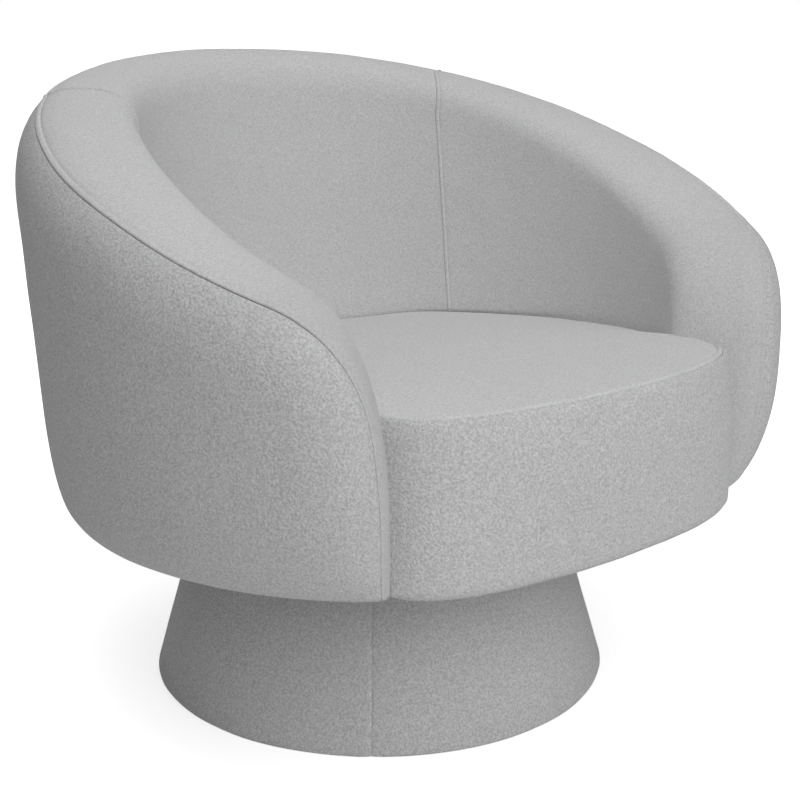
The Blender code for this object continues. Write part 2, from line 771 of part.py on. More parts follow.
def seat_fan(setback, sink, level=None):
    """Lines from the middle of the seat to its edge: the crowned top at a sink, or flat at a level."""
    wall, front = seat_edge()
    grid = []
    for point in wall + front:
        deep = SEAT_CENTRE_Y - point.y
        reach = 1 - setback / deep if point in front else 1.0
        line = []
        for step in SEAT_STEP_SHARES:
            share = step * reach
            y = SEAT_CENTRE_Y - deep * share
            top = seat_level(y) + SEAT_CROWN * (1 - share**2)
            line.append(Vector((point.x * share, y, level or top - sink)))
        grid.append(line)
    return grid


def core_point(side, station, turn, deep):
    """A point well inside the wall, behind a point of the rounded edge."""
    point, way = CREST[STATIONS[station]], CREST_WAYS[STATIONS[station]]
    across = math.sin(abs(turn)) ** (2 / ROUND_FULLNESS)
    outside = turn < 0
    drop = deep * (1 + across / 2) if outside else deep + (inner_round(point.x) - deep) * across
    run = point.x + way.y * drop
    if outside:
        depth = thickness(run) * CREST_SHARE * (1 - across / 2)
    else:
        depth = thickness(run) * (CREST_SHARE + (1 - CREST_SHARE) * across) - deep * across
    return wall_point(side, run, point.y - way.x * drop, depth, drawn_share(turn, across))


def skirt_grid(walls, edge, depth):
    """The inner face carried on below the liners, down to the foot of the arm's nose."""
    levels = [line[-1].z for line in edge[DECK_STATION:]]
    arm = patch(shoulder(QUARTER, SEAM_STATION, DECK_STATION), ARM_SPANS)
    runs = [run for run, height in shoulder(QUARTER, 0, SEAM_STATION)] + [line[-1][0] for line in arm[1:]]
    feet = [line[-1] for line in walls[0] + walls[1][1:]]
    grid = []
    for run, foot in zip(runs, feet):
        grid.append([foot] + [inner_point(1, run, level, depth) for level in levels[1:]])
    grid[-1] = [line[-1] for line in edge[DECK_STATION:]]
    return grid


def build_wall_skin(cutters):
    """The wall's rounded edge and inner face as a thick skin, a gap larger, to trim the seat with."""
    faces = []
    for depth in (-SOFT_FIT, WALL_SKIN):
        place = edge_point if depth < 0 else core_point
        edge = [[place(1, k, turn, depth) for turn in EDGE_TURNS[1:]] for k in range(LAST_STATION + 1)]
        edge[-1] = end_level(edge[-2], edge[-1], TUB_BOTTOM - CUT_OVERRUN)
        walls = [inner_wall_grid(1, 0, SEAM_STATION, depth)]
        walls.append(inner_wall_grid(1, SEAM_STATION, DECK_STATION, depth))
        faces.append([edge, *walls, skirt_grid(walls, edge, depth)])
    skin = cutters.add_cutter("wall_skin", layer(*faces, True))
    add_mirror(skin)
    return skin


def build_seat(tub, skin):
    foam_bottom = seat_fan(WRAP_DEPTH, 0.0, DECK_TOP + SOFT_FIT)
    for name, finish, faces in (
        ("seat_top_cover", "fabric", [seat_fan(0.0, 0.0), seat_fan(0.0, FABRIC)]),
        ("seat_foam", "foam", [seat_fan(WRAP_DEPTH, COVER_DEPTH), foam_bottom]),
    ):
        item = tub.add_mesh(name, layer(faces[:1], faces[1:], False), finish)
        add_mirror(item)
        add_boolean(item, skin)


def front_grid(setback, top_drop, bottom):
    """Rows down the seat's front, at a setback behind its face."""
    grid = []
    for i in range(FRONT_SPANS + 1):
        u = SEAT_REACH_SHARE * (1 - i / FRONT_SPANS)
        top = seam_level(u) - top_drop
        levels = [top + (bottom - top) * j / FRONT_ROWS for j in range(FRONT_ROWS + 1)]
        grid.append([seat_front(u, level) + Vector((0, setback, 0)) for level in levels])
    return grid


def build_seat_front(tub, skin):
    cover_top = FABRIC + SEAM_GAP
    faces = []
    for step in (0.0, FABRIC):
        grid = front_grid(step, cover_top, TUB_BOTTOM + step)
        hem = [[line[-1], line[-1] + Vector((0, HEM - step, 0))] for line in grid]
        faces.append([grid, hem])
    pad_top = COVER_DEPTH + SOFT_FIT
    pad = [[front_grid(depth, pad_top, BOARD_BOTTOM)] for depth in (COVER_DEPTH, COVER_DEPTH + WRAP_FOAM)]
    for name, finish, sides in (("seat_front_cover", "fabric", faces), ("front_pad", "foam", pad)):
        item = tub.add_mesh(name, layer(*sides, False), finish)
        add_mirror(item)
        add_boolean(item, skin)


# Boards of the tub

def prism(outline, bottom, top):
    """A flat board from an outline in plan."""
    return closed_loft([[Vector((x, y, level)) for x, y in outline] for level in (bottom, top)])


def whole_outline(half):
    """A closed outline from its right half, which runs from the middle of the back to that of the front."""
    return half + [(-x, y) for x, y in reversed(half) if abs(x) > WELD]


def board_half(level, depth, setback):
    """Half of a board's outline in the tub: inside the wall, behind its nose and the seat's front."""
    runs = [NOSE_SHOULDER_RUN * i / BOARD_SPANS for i in range(BOARD_SPANS + 1)]
    points = [wall_point(1, run, level, depth) for run in runs]
    points += [wall_point(1, BOARD_NOSE_RUN, level, depth + BOARD_NOSE_INSET)]
    points += [inner_point(1, BOARD_NOSE_RUN, level, -BOARD_NOSE_INSET)]
    points += [seat_front(u, level) + Vector((0, setback, 0)) for u in BOARD_FRONT_SHARES]
    return [(point.x, point.y) for point in points]


def box(centre, half, bottom, top):
    corners = ((-1, -1), (1, -1), (1, 1), (-1, 1))
    return prism([(centre[0] + x * half[0], centre[1] + y * half[1]) for x, y in corners], bottom, top)


def build_tub_boards(tub):
    outline = whole_outline(board_half(TUB_BOTTOM, BOARD_EDGE, WRAP_DEPTH + SOFT_FIT))
    board = tub.add_mesh("bottom_board", prism(outline, BOARD_BOTTOM, BOARD_TOP), "plywood")
    outline = whole_outline(board_half(DECK_BOTTOM, DECK_EDGE, WRAP_DEPTH + SOFT_FIT))
    tub.add_mesh("seat_deck", prism(outline, DECK_BOTTOM, DECK_TOP), "plywood")
    low, high = BOARD_TOP + FIT, DECK_BOTTOM - FIT
    places = [(x, y) for y in (BLOCK_BACK_Y, BLOCK_FRONT_Y) for x in (-BLOCK_OUT, BLOCK_OUT)]
    for index, centre in enumerate(places):
        block = box(centre, (BLOCK_HALF, BLOCK_HALF), low, high)
        tub.add_mesh(f"deck_block_{index + 1}", block, "plywood")
    rail_face = seat_front(FRONT_RAIL_HALF / SEAT_FRONT_HALF, DECK_BOTTOM).y + WRAP_DEPTH + SOFT_FIT
    rail_y = rail_face + FRONT_RAIL / 2
    tub.add_mesh("front_rail", box((0, rail_y), (FRONT_RAIL_HALF, FRONT_RAIL / 2), low, high), "plywood")
    return board


def build_tub_lining(tub):
    """The thin black cloth under the tub, with a round opening for the swivel."""
    outline = whole_outline(board_half(TUB_BOTTOM, HEM + LINING_SETBACK, HEM + SOFT_FIT))
    return tub.add_mesh("tub_dust_cover", prism(outline, TUB_BOTTOM, TUB_BOTTOM + LINING), "lining")


# Round pieces

def spun(group, name, profile, finish=None, steps=None, closed=True):
    """A round piece about the swivel axis, spun from its half section."""
    bm = bmesh.new()
    verts = [bm.verts.new((radius, 0, height)) for radius, height in profile]
    ends = verts[1:] + verts[:1] if closed else verts[1:]
    edges = [bm.edges.new(pair) for pair in zip(verts, ends)]
    bmesh.ops.spin(
        bm, geom=verts + edges, cent=(0, 0, 0), axis=(0, 0, 1), angle=2 * math.pi,
        steps=steps or ROUND_STEPS, use_merge=True,
    )
    bmesh.ops.remove_doubles(bm, verts=bm.verts, dist=WELD)
    bmesh.ops.recalc_face_normals(bm, faces=bm.faces)
    return group.add_mesh(name, bm, finish)


def circle_places(count, radius, start=0.0):
    angles = [start + 2 * math.pi * i / count for i in range(count)]
    return [(radius * math.cos(angle), radius * math.sin(angle)) for angle in angles]


def drill(cutters, name, places, radius, bottom, top, steps=BOLT_STEPS):
    """A cutter of upright round holes."""
    bm = bmesh.new()
    for x, y in places:
        matrix = Matrix.Translation((x, y, (bottom + top) / 2))
        bmesh.ops.create_cone(
            bm, cap_ends=True, segments=steps, radius1=radius, radius2=radius,
            depth=top - bottom, matrix=matrix,
        )
    return cutters.add_cutter(name, bm)


def cone_radius(height, depth=0.0):
    """The base's radius at a height, at a depth inside its face."""
    return BASE_RADIUS - BASE_SLOPE * (height - BASE_BOTTOM) - depth


def cone_shell(group, name, depth, size, bottom, top, finish):
    profile = [(cone_radius(level, depth), level) for level in (top, bottom)]
    profile += [(cone_radius(level, depth + size), level) for level in (bottom, top)]
    return spun(group, name, profile, finish)


def build_base(base):
    """The cone: two boards and four ribs, a bent wall, padding and a fabric cover."""
    inner = BASE_BOTTOM + FABRIC
    outer = BASE_TOP - FABRIC
    cover = [(cone_radius(BASE_TOP), BASE_TOP), (cone_radius(BASE_BOTTOM), BASE_BOTTOM)]
    cover += [(cone_radius(BASE_BOTTOM, BASE_HEM), BASE_BOTTOM), (cone_radius(BASE_BOTTOM, BASE_HEM), inner)]
    cover += [(cone_radius(inner, FABRIC), inner), (cone_radius(outer, FABRIC), outer)]
    cover += [(cone_radius(BASE_TOP, BASE_HEM), outer), (cone_radius(BASE_TOP, BASE_HEM), BASE_TOP)]
    spun(base, "base_cover", cover, "fabric")
    bottom, top = FLOOR_BOARD_BOTTOM, TOP_BOARD_TOP
    cone_shell(base, "base_padding", COVER_DEPTH, BASE_WRAP, bottom, top, "foam")
    cone_shell(base, "base_wall", BASE_WALL_DEPTH, BASE_WALL, bottom, top, "plywood")
    floor_top, roof = bottom + FLOOR_BOARD, top - BOARD
    for name, low, high in (("base_floor_board", bottom, floor_top), ("base_top_board", roof, top)):
        edge = BASE_BOARD_DEPTH
        profile = [(cone_radius(high, edge), high), (cone_radius(low, edge), low)]
        profile += [(PLATE_INNER, low), (PLATE_INNER, high)]
        board = spun(base, name, profile, "plywood")
    low, high = floor_top + FIT, roof - FIT
    ring = [(RIB_INNER, low), (cone_radius(low, RIB_DEPTH), low)]
    ring += [(cone_radius(high, RIB_DEPTH), high), (RIB_INNER, high)]
    for index in range(RIBS):
        turn = Matrix.Rotation(2 * math.pi * index / RIBS, 3, "Z")
        sides = [[turn @ Vector((x, y, z)) for x, z in ring] for y in (-BOARD / 2, BOARD / 2)]
        base.add_mesh(f"base_rib_{index + 1}", closed_loft(sides), "plywood")
    lining = [(BASE_LINING_RADIUS, GLIDE_HEIGHT), (BASE_LINING_RADIUS, GLIDE_HEIGHT - LINING)]
    lining += [(PLATE_INNER, GLIDE_HEIGHT - LINING), (PLATE_INNER, GLIDE_HEIGHT)]
    spun(base, "base_dust_cover", lining, "lining")
    glide = [(0, GLIDE_HEIGHT), (GLIDE_RADIUS, GLIDE_HEIGHT), (GLIDE_RADIUS, GLIDE_EDGE)]
    glide += [(GLIDE_RADIUS - GLIDE_EDGE, 0), (0, 0)]
    for index, (x, y) in enumerate(circle_places(GLIDES, GLIDE_PLACE, math.pi / GLIDES)):
        item = spun(base, f"glide_{index + 1}", glide, "nylon", 2 * BOLT_STEPS, closed=False)
        item.location = (x, y, 0)
    return board


def race_plate(top, bottom, up):
    """A round plate's half section, with the ball race in its upper or its lower face."""
    face, back = (top, bottom) if up else (bottom, top)
    floor = face - RACE_DEPTH if up else face + RACE_DEPTH
    race = [(RACE_RADIUS - RACE_HALF, face), (RACE_RADIUS - RACE_FLOOR_HALF, floor)]
    race += [(RACE_RADIUS + RACE_FLOOR_HALF, floor), (RACE_RADIUS + RACE_HALF, face)]
    profile = [(PLATE_OUTER, face), (PLATE_OUTER, back), (PLATE_INNER, back), (PLATE_INNER, face)] + race
    return profile if up else profile[::-1]


def bolt_profile(seat, up):
    """A bolt's half section: its head stands on a face, and its shank runs the other way."""
    way = 1 if up else -1
    top, end = seat + way * BOLT_HEAD, seat - way * BOLT_LENGTH
    points = [(0, top), (BOLT_HEAD_RADIUS, top), (BOLT_HEAD_RADIUS, seat)]
    points += [(BOLT_RADIUS, seat), (BOLT_RADIUS, end), (0, end)]
    return points if up else points[::-1]


def build_swivel(base, cage, tub, cutters, top_board, bottom_board):
    lower = spun(base, "swivel_lower_plate", race_plate(LOWER_PLATE_TOP, LOWER_PLATE_BOTTOM, True), "steel")
    upper = spun(tub, "swivel_upper_plate", race_plate(UPPER_PLATE_TOP, UPPER_PLATE_BOTTOM, False), "steel")
    low, high = BALL_HEIGHT - CAGE / 2, BALL_HEIGHT + CAGE / 2
    near, far = RACE_RADIUS - CAGE_HALF, RACE_RADIUS + CAGE_HALF
    ring = [(far, high), (far, low), (near, low), (near, high)]
    holder = spun(cage, "ball_cage", ring, "steel")
    balls = bmesh.new()
    for x, y in circle_places(BALLS, RACE_RADIUS):
        place = Matrix.Translation((x, y, BALL_HEIGHT))
        bmesh.ops.create_uvsphere(
            balls, u_segments=BALL_STEPS, v_segments=BALL_RINGS, radius=BALL_RADIUS, matrix=place,
        )
    add_boolean(holder, cutters.add_cutter("ball_set", balls), "UNION")
    reach = BOLT_LENGTH + SOFT_FIT
    for group, name, place, up, seat, plate, board in (
        (base, "base_bolt_", LOWER_BOLT_PLACE, True, LOWER_PLATE_TOP + FIT, lower, top_board),
        (tub, "tub_bolt_", UPPER_BOLT_PLACE, False, UPPER_PLATE_BOTTOM - FIT, upper, bottom_board),
    ):
        places = circle_places(BOLTS, place)
        ends = sorted((seat + (CUT_OVERRUN if up else -CUT_OVERRUN), seat - reach if up else seat + reach))
        holes = drill(cutters, name + "holes", places, BOLT_HOLE, *ends)
        add_boolean(plate, holes)
        add_boolean(board, holes)
        for index, (x, y) in enumerate(places):
            profile = bolt_profile(seat, up)
            item = spun(group, f"{name}{index + 1}", profile, "steel", BOLT_STEPS, closed=False)
            item.location = (x, y, 0)


def build_chair():
    clear_scene()
    parts = new_collection("tub_chair")
    hidden = new_collection("cutters")
    pivots = {}
    for name in ("tub_pivot", "cage_pivot"):
        pivots[name] = bpy.data.objects.new(name, None)
        parts.objects.link(pivots[name])
    base = Group(parts)
    tub = Group(parts, pivots["tub_pivot"])
    cage = Group(parts, pivots["cage_pivot"])
    cutters = Group(hidden)
    top_board = build_base(base)
    bottom_board = build_tub_boards(tub)
    build_swivel(base, cage, tub, cutters, top_board, bottom_board)
    lining = build_tub_lining(tub)
    ends = TUB_BOTTOM - CUT_OVERRUN, BOARD_BOTTOM
    opening = drill(cutters, "swivel_opening", [(0, 0)], PLATE_OUTER + CUT_OVERRUN, *ends, ROUND_STEPS)
    add_boolean(lining, opening)
    build_uprights(tub)
    build_rolls_and_rails(tub)
    build_outer_layers(tub)
    build_inner_layers(tub)
    skin = build_wall_skin(cutters)
    build_seat(tub, skin)
    build_seat_front(tub, skin)


build_chair()
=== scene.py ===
"""Upholstery, finishes and studio for a round tub armchair that swivels on a cone base."""

import bisect
import json
from math import acos, cos, exp, hypot, pi, radians, sin, sqrt, tan, tanh

import bmesh
import bpy
from mathutils import Matrix, Vector, noise


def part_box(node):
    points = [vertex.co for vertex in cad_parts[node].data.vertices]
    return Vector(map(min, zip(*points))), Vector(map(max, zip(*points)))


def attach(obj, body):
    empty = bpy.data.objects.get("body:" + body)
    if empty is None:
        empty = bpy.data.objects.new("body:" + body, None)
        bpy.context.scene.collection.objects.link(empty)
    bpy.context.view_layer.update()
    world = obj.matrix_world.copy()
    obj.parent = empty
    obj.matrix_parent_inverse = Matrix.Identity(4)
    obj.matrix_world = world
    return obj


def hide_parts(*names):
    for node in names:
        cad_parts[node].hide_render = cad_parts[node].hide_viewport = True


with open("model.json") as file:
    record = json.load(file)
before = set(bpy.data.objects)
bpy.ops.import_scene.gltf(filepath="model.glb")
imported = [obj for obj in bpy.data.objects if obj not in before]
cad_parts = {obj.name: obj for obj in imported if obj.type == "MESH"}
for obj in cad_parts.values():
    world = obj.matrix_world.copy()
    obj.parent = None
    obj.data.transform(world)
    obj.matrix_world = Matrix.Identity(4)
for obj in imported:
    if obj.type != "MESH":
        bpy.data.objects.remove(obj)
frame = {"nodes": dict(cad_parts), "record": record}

bl_info = {
    "name": "Swivel tub chair",
    "version": (1, 0, 0),
    "blender": (4, 5, 0),
    "location": "View3D > Sidebar > Tub Chair",
    "description": "Sews the covers of a swivel tub chair and lights it",
    "category": "Object",
}

# Sizes of the tub, the same as the frame's

TUB_RADIUS = 0.4076
TUB_CENTRE_Y = -0.0624
PLAN_SHIFT = 0.0190
PLAN_OVAL = -0.0034
PLAN_CORNER = 0.0091
PLAN_SQUARE = -0.0026
NOSE_ANGLE = radians(137.2)
NOSE_FLARE = 0.0105
NOSE_FLARE_FROM = radians(109)
NOSE_STEEP = radians(52)
TUB_BOTTOM = 0.2239
LEAN = radians(3.4)
TAPER_HEIGHT = 0.120
TAPER_BACK = 0.008
TAPER_NOSE = 0.0545
CREST_DRAWN_SHARE = 0.2
CREST_HEIGHT = 0.671
CREST_PULL = 0.371
ARM_RUN = radians(120.2) * TUB_RADIUS
ARM_HEIGHT = 0.501
ARM_SLOPE = radians(15)
ARM_PULL = 0.245
NOSE_PULL = 0.133
NOSE_FOOT_PULL = 0.116
NOSE_RUN = NOSE_ANGLE * TUB_RADIUS
BACK_THICKNESS = 0.1058
ARM_EXTRA = 0.033
CREST_SHARE = 0.53
OUTER_ROUND = 0.0913
BACK_INNER_ROUND = 0.0568
ARM_INNER_ROUND = 0.0367
ROUND_FULLNESS = 2.65
SEAM_DROP = 0.0103
INNER_SEAM_RUN = radians(45.2) * TUB_RADIUS
RIM_DRIFT = 0.018
FOOT_DRIFT = 0.037
DRIFT_SPAN = 0.35
DECK_TOP = 0.2895
QUARTER = pi / 2
MIRROR = Vector((-1, 1, 1))
CREST_SAMPLES = 900

# Sizes of the seat, the same as the frame's

SEAT_FRONT_Y = TUB_CENTRE_Y + TUB_RADIUS * cos(NOSE_ANGLE) - 0.0053
SEAT_FRONT_HALF = TUB_RADIUS * sin(NOSE_ANGLE) - 0.0434
SEAT_FRONT_SPREAD = 0.0066
SEAT_FRONT_BOW = 0.0435
SEAT_CORNER_BOW = 0.031
SEAT_FOOT_BOW = 0.0257
SEAT_BELLY = 0.0072
SEAT_BELLY_RISE = 0.6
SEAT_BACK_Y = TUB_CENTRE_Y + TUB_RADIUS - 0.084
SEAT_BACK_HEIGHT = 0.3445
SEAT_FRONT_HEIGHT = 0.392
SEAT_SAG = 1.3
SEAT_CROWN = 0.028
SEAT_CENTRE = Vector((0, TUB_CENTRE_Y + 0.0336))
SEAT_SIDE_RUN = radians(126.5) * TUB_RADIUS
SEAT_REACH_SHARE = 1.05
SEAT_BITE = 0.012

# Sizes of the base, the same as the frame's

BASE_RADIUS = 0.254
BASE_TOP_RADIUS = 0.1917
BASE_BOTTOM = 0.003
BASE_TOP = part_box("base_cover")[1].z
BASE_HEM = 0.020
BASE_LIP = 0.005
BASE_EASE, BASE_CORNER = 0.002, 0.0005
BASE_SEAM = radians(-131)
BASE_SEAM_PULL, BASE_SEAM_WIDTH = 0.0006, 0.003
COVER_FOOT = 0.001

# Course of the outer seam along the crest

SEAM_ARM_RISE, ARM_RISE_FROM, ARM_RISE_SPAN = 0.0025, 0.54, 0.18
SEAM_NOSE_FALL, NOSE_FALL_FROM, NOSE_FALL_SPAN = 0.0028, 1.01, 0.08
SEAM_SLACK, SLACK_FROM, SLACK_SPAN = 0.5, 0.88, 0.14

# Dips and creases of the sewn seat

SEAT_DIP, SEAT_DIP_REACH = 0.0125, 0.20
SEAT_DIP_FROM, SEAT_DIP_SPAN = radians(46), radians(32)
TUCK_FROM, TUCK_WIDTH = 0.011, 0.0045
CREASE_DEPTH, CREASE_WIDTH = 0.070, 0.0110
CREASE_FALL, CREASE_FADE = 0.06, 8
FOOT_TURN, FOOT_TURN_REACH = 0.004, 0.0025
HALF_ROUND = 1 - sqrt(0.5)
SEAT_LOOSE = 0.012
LEDGE_LIFT, LEDGE_ABOVE, LEDGE_BELOW, LEDGE_SHARE = 0.002, 0.012, 0.006, 0.8
CREVICE_DROP, CREVICE_WIDTH = 0.001, 0.0035

# Profile of the cloth beside a seam, and its unevenness

HEM = 0.016
HEM_LIFT = 0.0005
STITCH_INSET, STITCH_START, STITCH_CLEAR = 0.0006, 0.72, 0.002
THREAD_PROUD = 0.25
PROBE = 0.001
SHOULDER, SHOULDER_REACH = 0.0006, 0.009
FELL_START, FELL_EDGE = 0.15, 0.0006
FELL_DIP, FELL_DIP_PAST, FELL_DIP_WIDTH = 0.0009, 0.0010, 0.0014
FELL_GROOVE = 0.7
EVEN_PULL, PULL_DEPTH, PULL_WIDTH = 0.7, 0.0012, 0.0015
SEAMS_MEET = 0.003
SEWN_DOWN = 0.006
BROAD_WAVES, SMALL_WAVES, SMALL_SHARE = 9, 23, 0.45
GATHERS, GATHER_REACH, GATHER_PUFF = 75, 0.014, 3
SEEDS = {
    "outer": 3.1, "back": 7.7, "left_arm": 12.3, "right_arm": 17.9,
    "seat": 23.4, "seat_front": 31.6, "base": 40.2,
}
YARN_WOBBLE = 0.0009
# Strength of the painted shade in the hollows of the nap's grain
HOLLOW_PAINTED_SHADE = 2.8
# Where the painted shade round an arm's nose starts and where it is full
NOSE_SHADE_FROM_Y = -0.16
NOSE_SHADE_FULL_Y = -0.31

# Rows of the sewn sheets

RIM_ROWS = 120
NOSE_ROWS = 56
ARM_ROWS = 72
WALL_ROWS = 44
LEDGE_ROWS = (26, 12, 6)
FOOT_ROWS = 12
OUTER_EDGE_ROWS = 18
INNER_EDGE_ROWS = 34
EDGE_SAMPLES = 90
SEAT_SIDE_ROWS, SEAT_FRONT_ROWS, SEAT_COLUMNS = 90, 48, 26
FRONT_ROWS, FRONT_COLUMNS = 96, 30
BASE_ROWS, BASE_COLUMNS = 84, 40
OUTER_STITCH_STEPS, RIM_STITCH_STEPS, WALL_STITCH_STEPS = 260, 120, 80
ROW_SPREAD, NOSE_SPREAD = 1.15, 1.35
FINE_STEPS = (0.0, 0.0004, 0.0008, 0.0013, 0.0020, 0.0030, 0.0042, 0.0049, 0.0055, 0.0062, 0.0072,
              0.0090, 0.0120, 0.0160, 0.0210)
WELD = 0.00003

# Studio

LAMP_AIM = Vector((0, 0, 0.35))
FRONT_LAMP_SIZE, LAMP_SIZE = 2.2, 1.8
FRONT_LAMP = (-0.42, -2.38, 1.65)
BACK_LAMP = (0.90, 2.50, 1.70)
TOP_LAMP = (-0.25, -0.05, 2.45)
FLOOR_REACH = 14
LIFT_REACH = 1.5
SKY_LEVEL, SKY_ABOVE = 0.1, 1.2
CAMERA_PLACE = Vector((-1.0164, -1.2545, 0.7520))
CAMERA_AXES = Matrix(((0.7676, -0.6409, 0), (0.1722, 0.2062, 0.9632), (-0.6173, -0.7394, 0.2687)))


class ChairCloth(bpy.types.PropertyGroup):
    """Colours, painted shade and weave of the upholstery cloth."""

    light: bpy.props.FloatVectorProperty(
        name="Light yarn", description="Colour of the paler yarn", subtype="COLOR",
        default=(0.83, 0.83, 0.835), min=0, max=1)
    dark: bpy.props.FloatVectorProperty(
        name="Dark yarn", description="Colour of the darker yarn", subtype="COLOR",
        default=(0.55, 0.55, 0.555), min=0, max=1)
    yarn: bpy.props.FloatProperty(
        name="Yarn pitch", description="Distance between neighbouring yarns", unit="LENGTH",
        default=0.0011, min=0.0003, max=0.01)
    # Painted shade: the seat's front and the frame's other cloth parts are coloured darker by this share.
    shade: bpy.props.FloatProperty(
        name="Raised nap shade", description="How light the raised nap of the seat's front looks",
        subtype="FACTOR", default=0.91, min=0, max=1)
    # Painted shade: the outer panel is coloured darker by this share.
    outer: bpy.props.FloatProperty(
        name="Outer panel shade", description="How light the outer panel looks with its nap brushed down",
        subtype="FACTOR", default=0.885, min=0, max=1)
    # Painted shade: the arms' inner covers are coloured darker by this share towards the front of their
    # noses.
    nose: bpy.props.FloatProperty(
        name="Nose shade", description="How light the arms' inner covers look round their noses",
        subtype="FACTOR", default=0.88, min=0, max=1)
    depth: bpy.props.FloatProperty(
        name="Weave depth", description="Height of the yarns' relief", unit="LENGTH",
        default=0.00018, min=0, max=0.002)
    thickness: bpy.props.FloatProperty(
        name="Cloth thickness", description="Thickness of the covers", unit="LENGTH",
        default=0.0015, min=0.0005, max=0.003)
    grain: bpy.props.FloatProperty(
        name="Grain size", description="Size of the nap's pebbled grain", unit="LENGTH",
        default=0.0022, min=0.0005, max=0.01)
    grain_depth: bpy.props.FloatProperty(
        name="Grain depth", description="Height of the nap's pebbled grain", unit="LENGTH",
        default=0.0013, min=0, max=0.004)
    # This share scales both the grain's bump and its painted shade in the hollows, inside the tub and on
    # the seat.
    rubbed: bpy.props.FloatProperty(
        name="Rubbed", description="Share of the grain that is left inside the tub and on the seat",
        subtype="FACTOR", default=0.5, min=0, max=1)
    unevenness: bpy.props.FloatProperty(
        name="Unevenness", description="Height of the soft unevenness over the padding", unit="LENGTH",
        default=0.0008, min=0, max=0.004)


class ChairSeams(bpy.types.PropertyGroup):
    """Sizes of the sewn seams."""

    groove: bpy.props.FloatProperty(
        name="Seam depth", description="How deep a seam draws the cloth in", unit="LENGTH",
        default=0.0007, min=0, max=0.006)
    groove_width: bpy.props.FloatProperty(
        name="Seam width", description="How far from the seam the cloth starts to draw in", unit="LENGTH",
        default=0.0009, min=0.0003, max=0.01)
    fell: bpy.props.FloatProperty(
        name="Felled band", description="Width of the folded band beside a seam", unit="LENGTH",
        default=0.0052, min=0.002, max=0.01)
    fell_height: bpy.props.FloatProperty(
        name="Band height", description="How far the folded band stands up", unit="LENGTH",
        default=0.0009, min=0, max=0.003)
    left_pull: bpy.props.FloatProperty(
        name="Left seam pull", description="How firmly the left inner seam is drawn",
        default=1.6, min=0.5, max=2)
    right_pull: bpy.props.FloatProperty(
        name="Right seam pull", description="How firmly the right inner seam is drawn",
        default=0.7, min=0.5, max=2)
    stitch: bpy.props.FloatProperty(
        name="Stitch length", description="Length of one stitch on top of the band", unit="LENGTH",
        default=0.0030, min=0.001, max=0.01)
    stitch_pitch: bpy.props.FloatProperty(
        name="Stitch pitch", description="Distance from one stitch to the next", unit="LENGTH",
        default=0.0042, min=0.0015, max=0.02)
    thread: bpy.props.FloatProperty(
        name="Thread", description="Thickness of the sewing thread", unit="LENGTH",
        default=0.00045, min=0.0001, max=0.002)
    pucker: bpy.props.FloatProperty(
        name="Puckers", description="Height of the small gathers beside a seam", unit="LENGTH",
        default=0.00045, min=0, max=0.003)
    edge: bpy.props.FloatProperty(
        name="Seat edge", description="Radius of the seat's front edge", unit="LENGTH",
        default=0.006, min=0.001, max=0.02)
    tuck: bpy.props.FloatProperty(
        name="Seat tuck", description="How far the seat sinks where it meets the wall", unit="LENGTH",
        default=0.012, min=0, max=0.03)
    crevice: bpy.props.FloatProperty(
        name="Crevice", description="How far the wall tucks in where the seat meets it", unit="LENGTH",
        default=0.005, min=0, max=0.01)


class ChairStudio(bpy.types.PropertyGroup):
    """Light and floor of the studio."""

    key: bpy.props.FloatProperty(
        name="Front lamp", description="Power of the large lamp in front", unit="POWER",
        default=31.5, min=0, max=1000)
    top: bpy.props.FloatProperty(
        name="Top lamp", description="Power of the lamp above", unit="POWER", default=11, min=0, max=1000)
    back: bpy.props.FloatProperty(
        name="Back lamp", description="Power of the lamp behind", unit="POWER", default=14, min=0, max=1000)
    fill: bpy.props.FloatProperty(
        name="Fill", description="Strength of the even light from all round", default=0.275, min=0, max=2)
    floor: bpy.props.FloatVectorProperty(
        name="Floor", description="Colour of the floor", subtype="COLOR",
        default=(0.95, 0.95, 0.95), min=0, max=1)
    lift: bpy.props.FloatProperty(
        name="Floor lift", description="How far the floor under the chair is lifted towards white",
        default=0.57, min=0, max=1)
    lens: bpy.props.FloatProperty(
        name="Lens", description="Focal length for a 36 mm frame", unit="CAMERA",
        default=67.93, min=10, max=200)


# Shape of the tub

def plan_point(angle):
    """A point of the outer face in plan and its outward normal, at an angle from the back."""
    radius = TUB_RADIUS + PLAN_SHIFT * cos(angle) + PLAN_OVAL * cos(2 * angle)
    radius += PLAN_CORNER * cos(3 * angle) + PLAN_SQUARE * cos(4 * angle)
    slope = -PLAN_SHIFT * sin(angle) - 2 * PLAN_OVAL * sin(2 * angle)
    slope -= 3 * PLAN_CORNER * sin(3 * angle) + 4 * PLAN_SQUARE * sin(4 * angle)
    outward = Vector((sin(angle), cos(angle)))
    along = Vector((cos(angle), -sin(angle)))
    tangent = (slope * outward + radius * along).normalized()
    return outward * radius + Vector((0, TUB_CENTRE_Y)), Vector((-tangent.y, tangent.x))


def inset(angle, height, share):
    """How far a face stands inside its plan: the lean, the drawn-in foot and the nose's flare."""
    low = min(max((TUB_BOTTOM + TAPER_HEIGHT - height) / TAPER_HEIGHT, 0.0), 1.0)
    part = (1 - cos(angle)) / (1 - cos(NOSE_ANGLE))
    taper = TAPER_BACK + (TAPER_NOSE - TAPER_BACK) * part**2
    flare = max(angle - NOSE_FLARE_FROM, 0.0) / (NOSE_ANGLE - NOSE_FLARE_FROM)
    drawn = taper * (1 - sqrt(1 - low * low)) * share
    return tan(LEAN) * (CREST_HEIGHT - height) + drawn - NOSE_FLARE * flare**2


def thickness(run):
    return BACK_THICKNESS + ARM_EXTRA * sin(run / TUB_RADIUS) ** 2


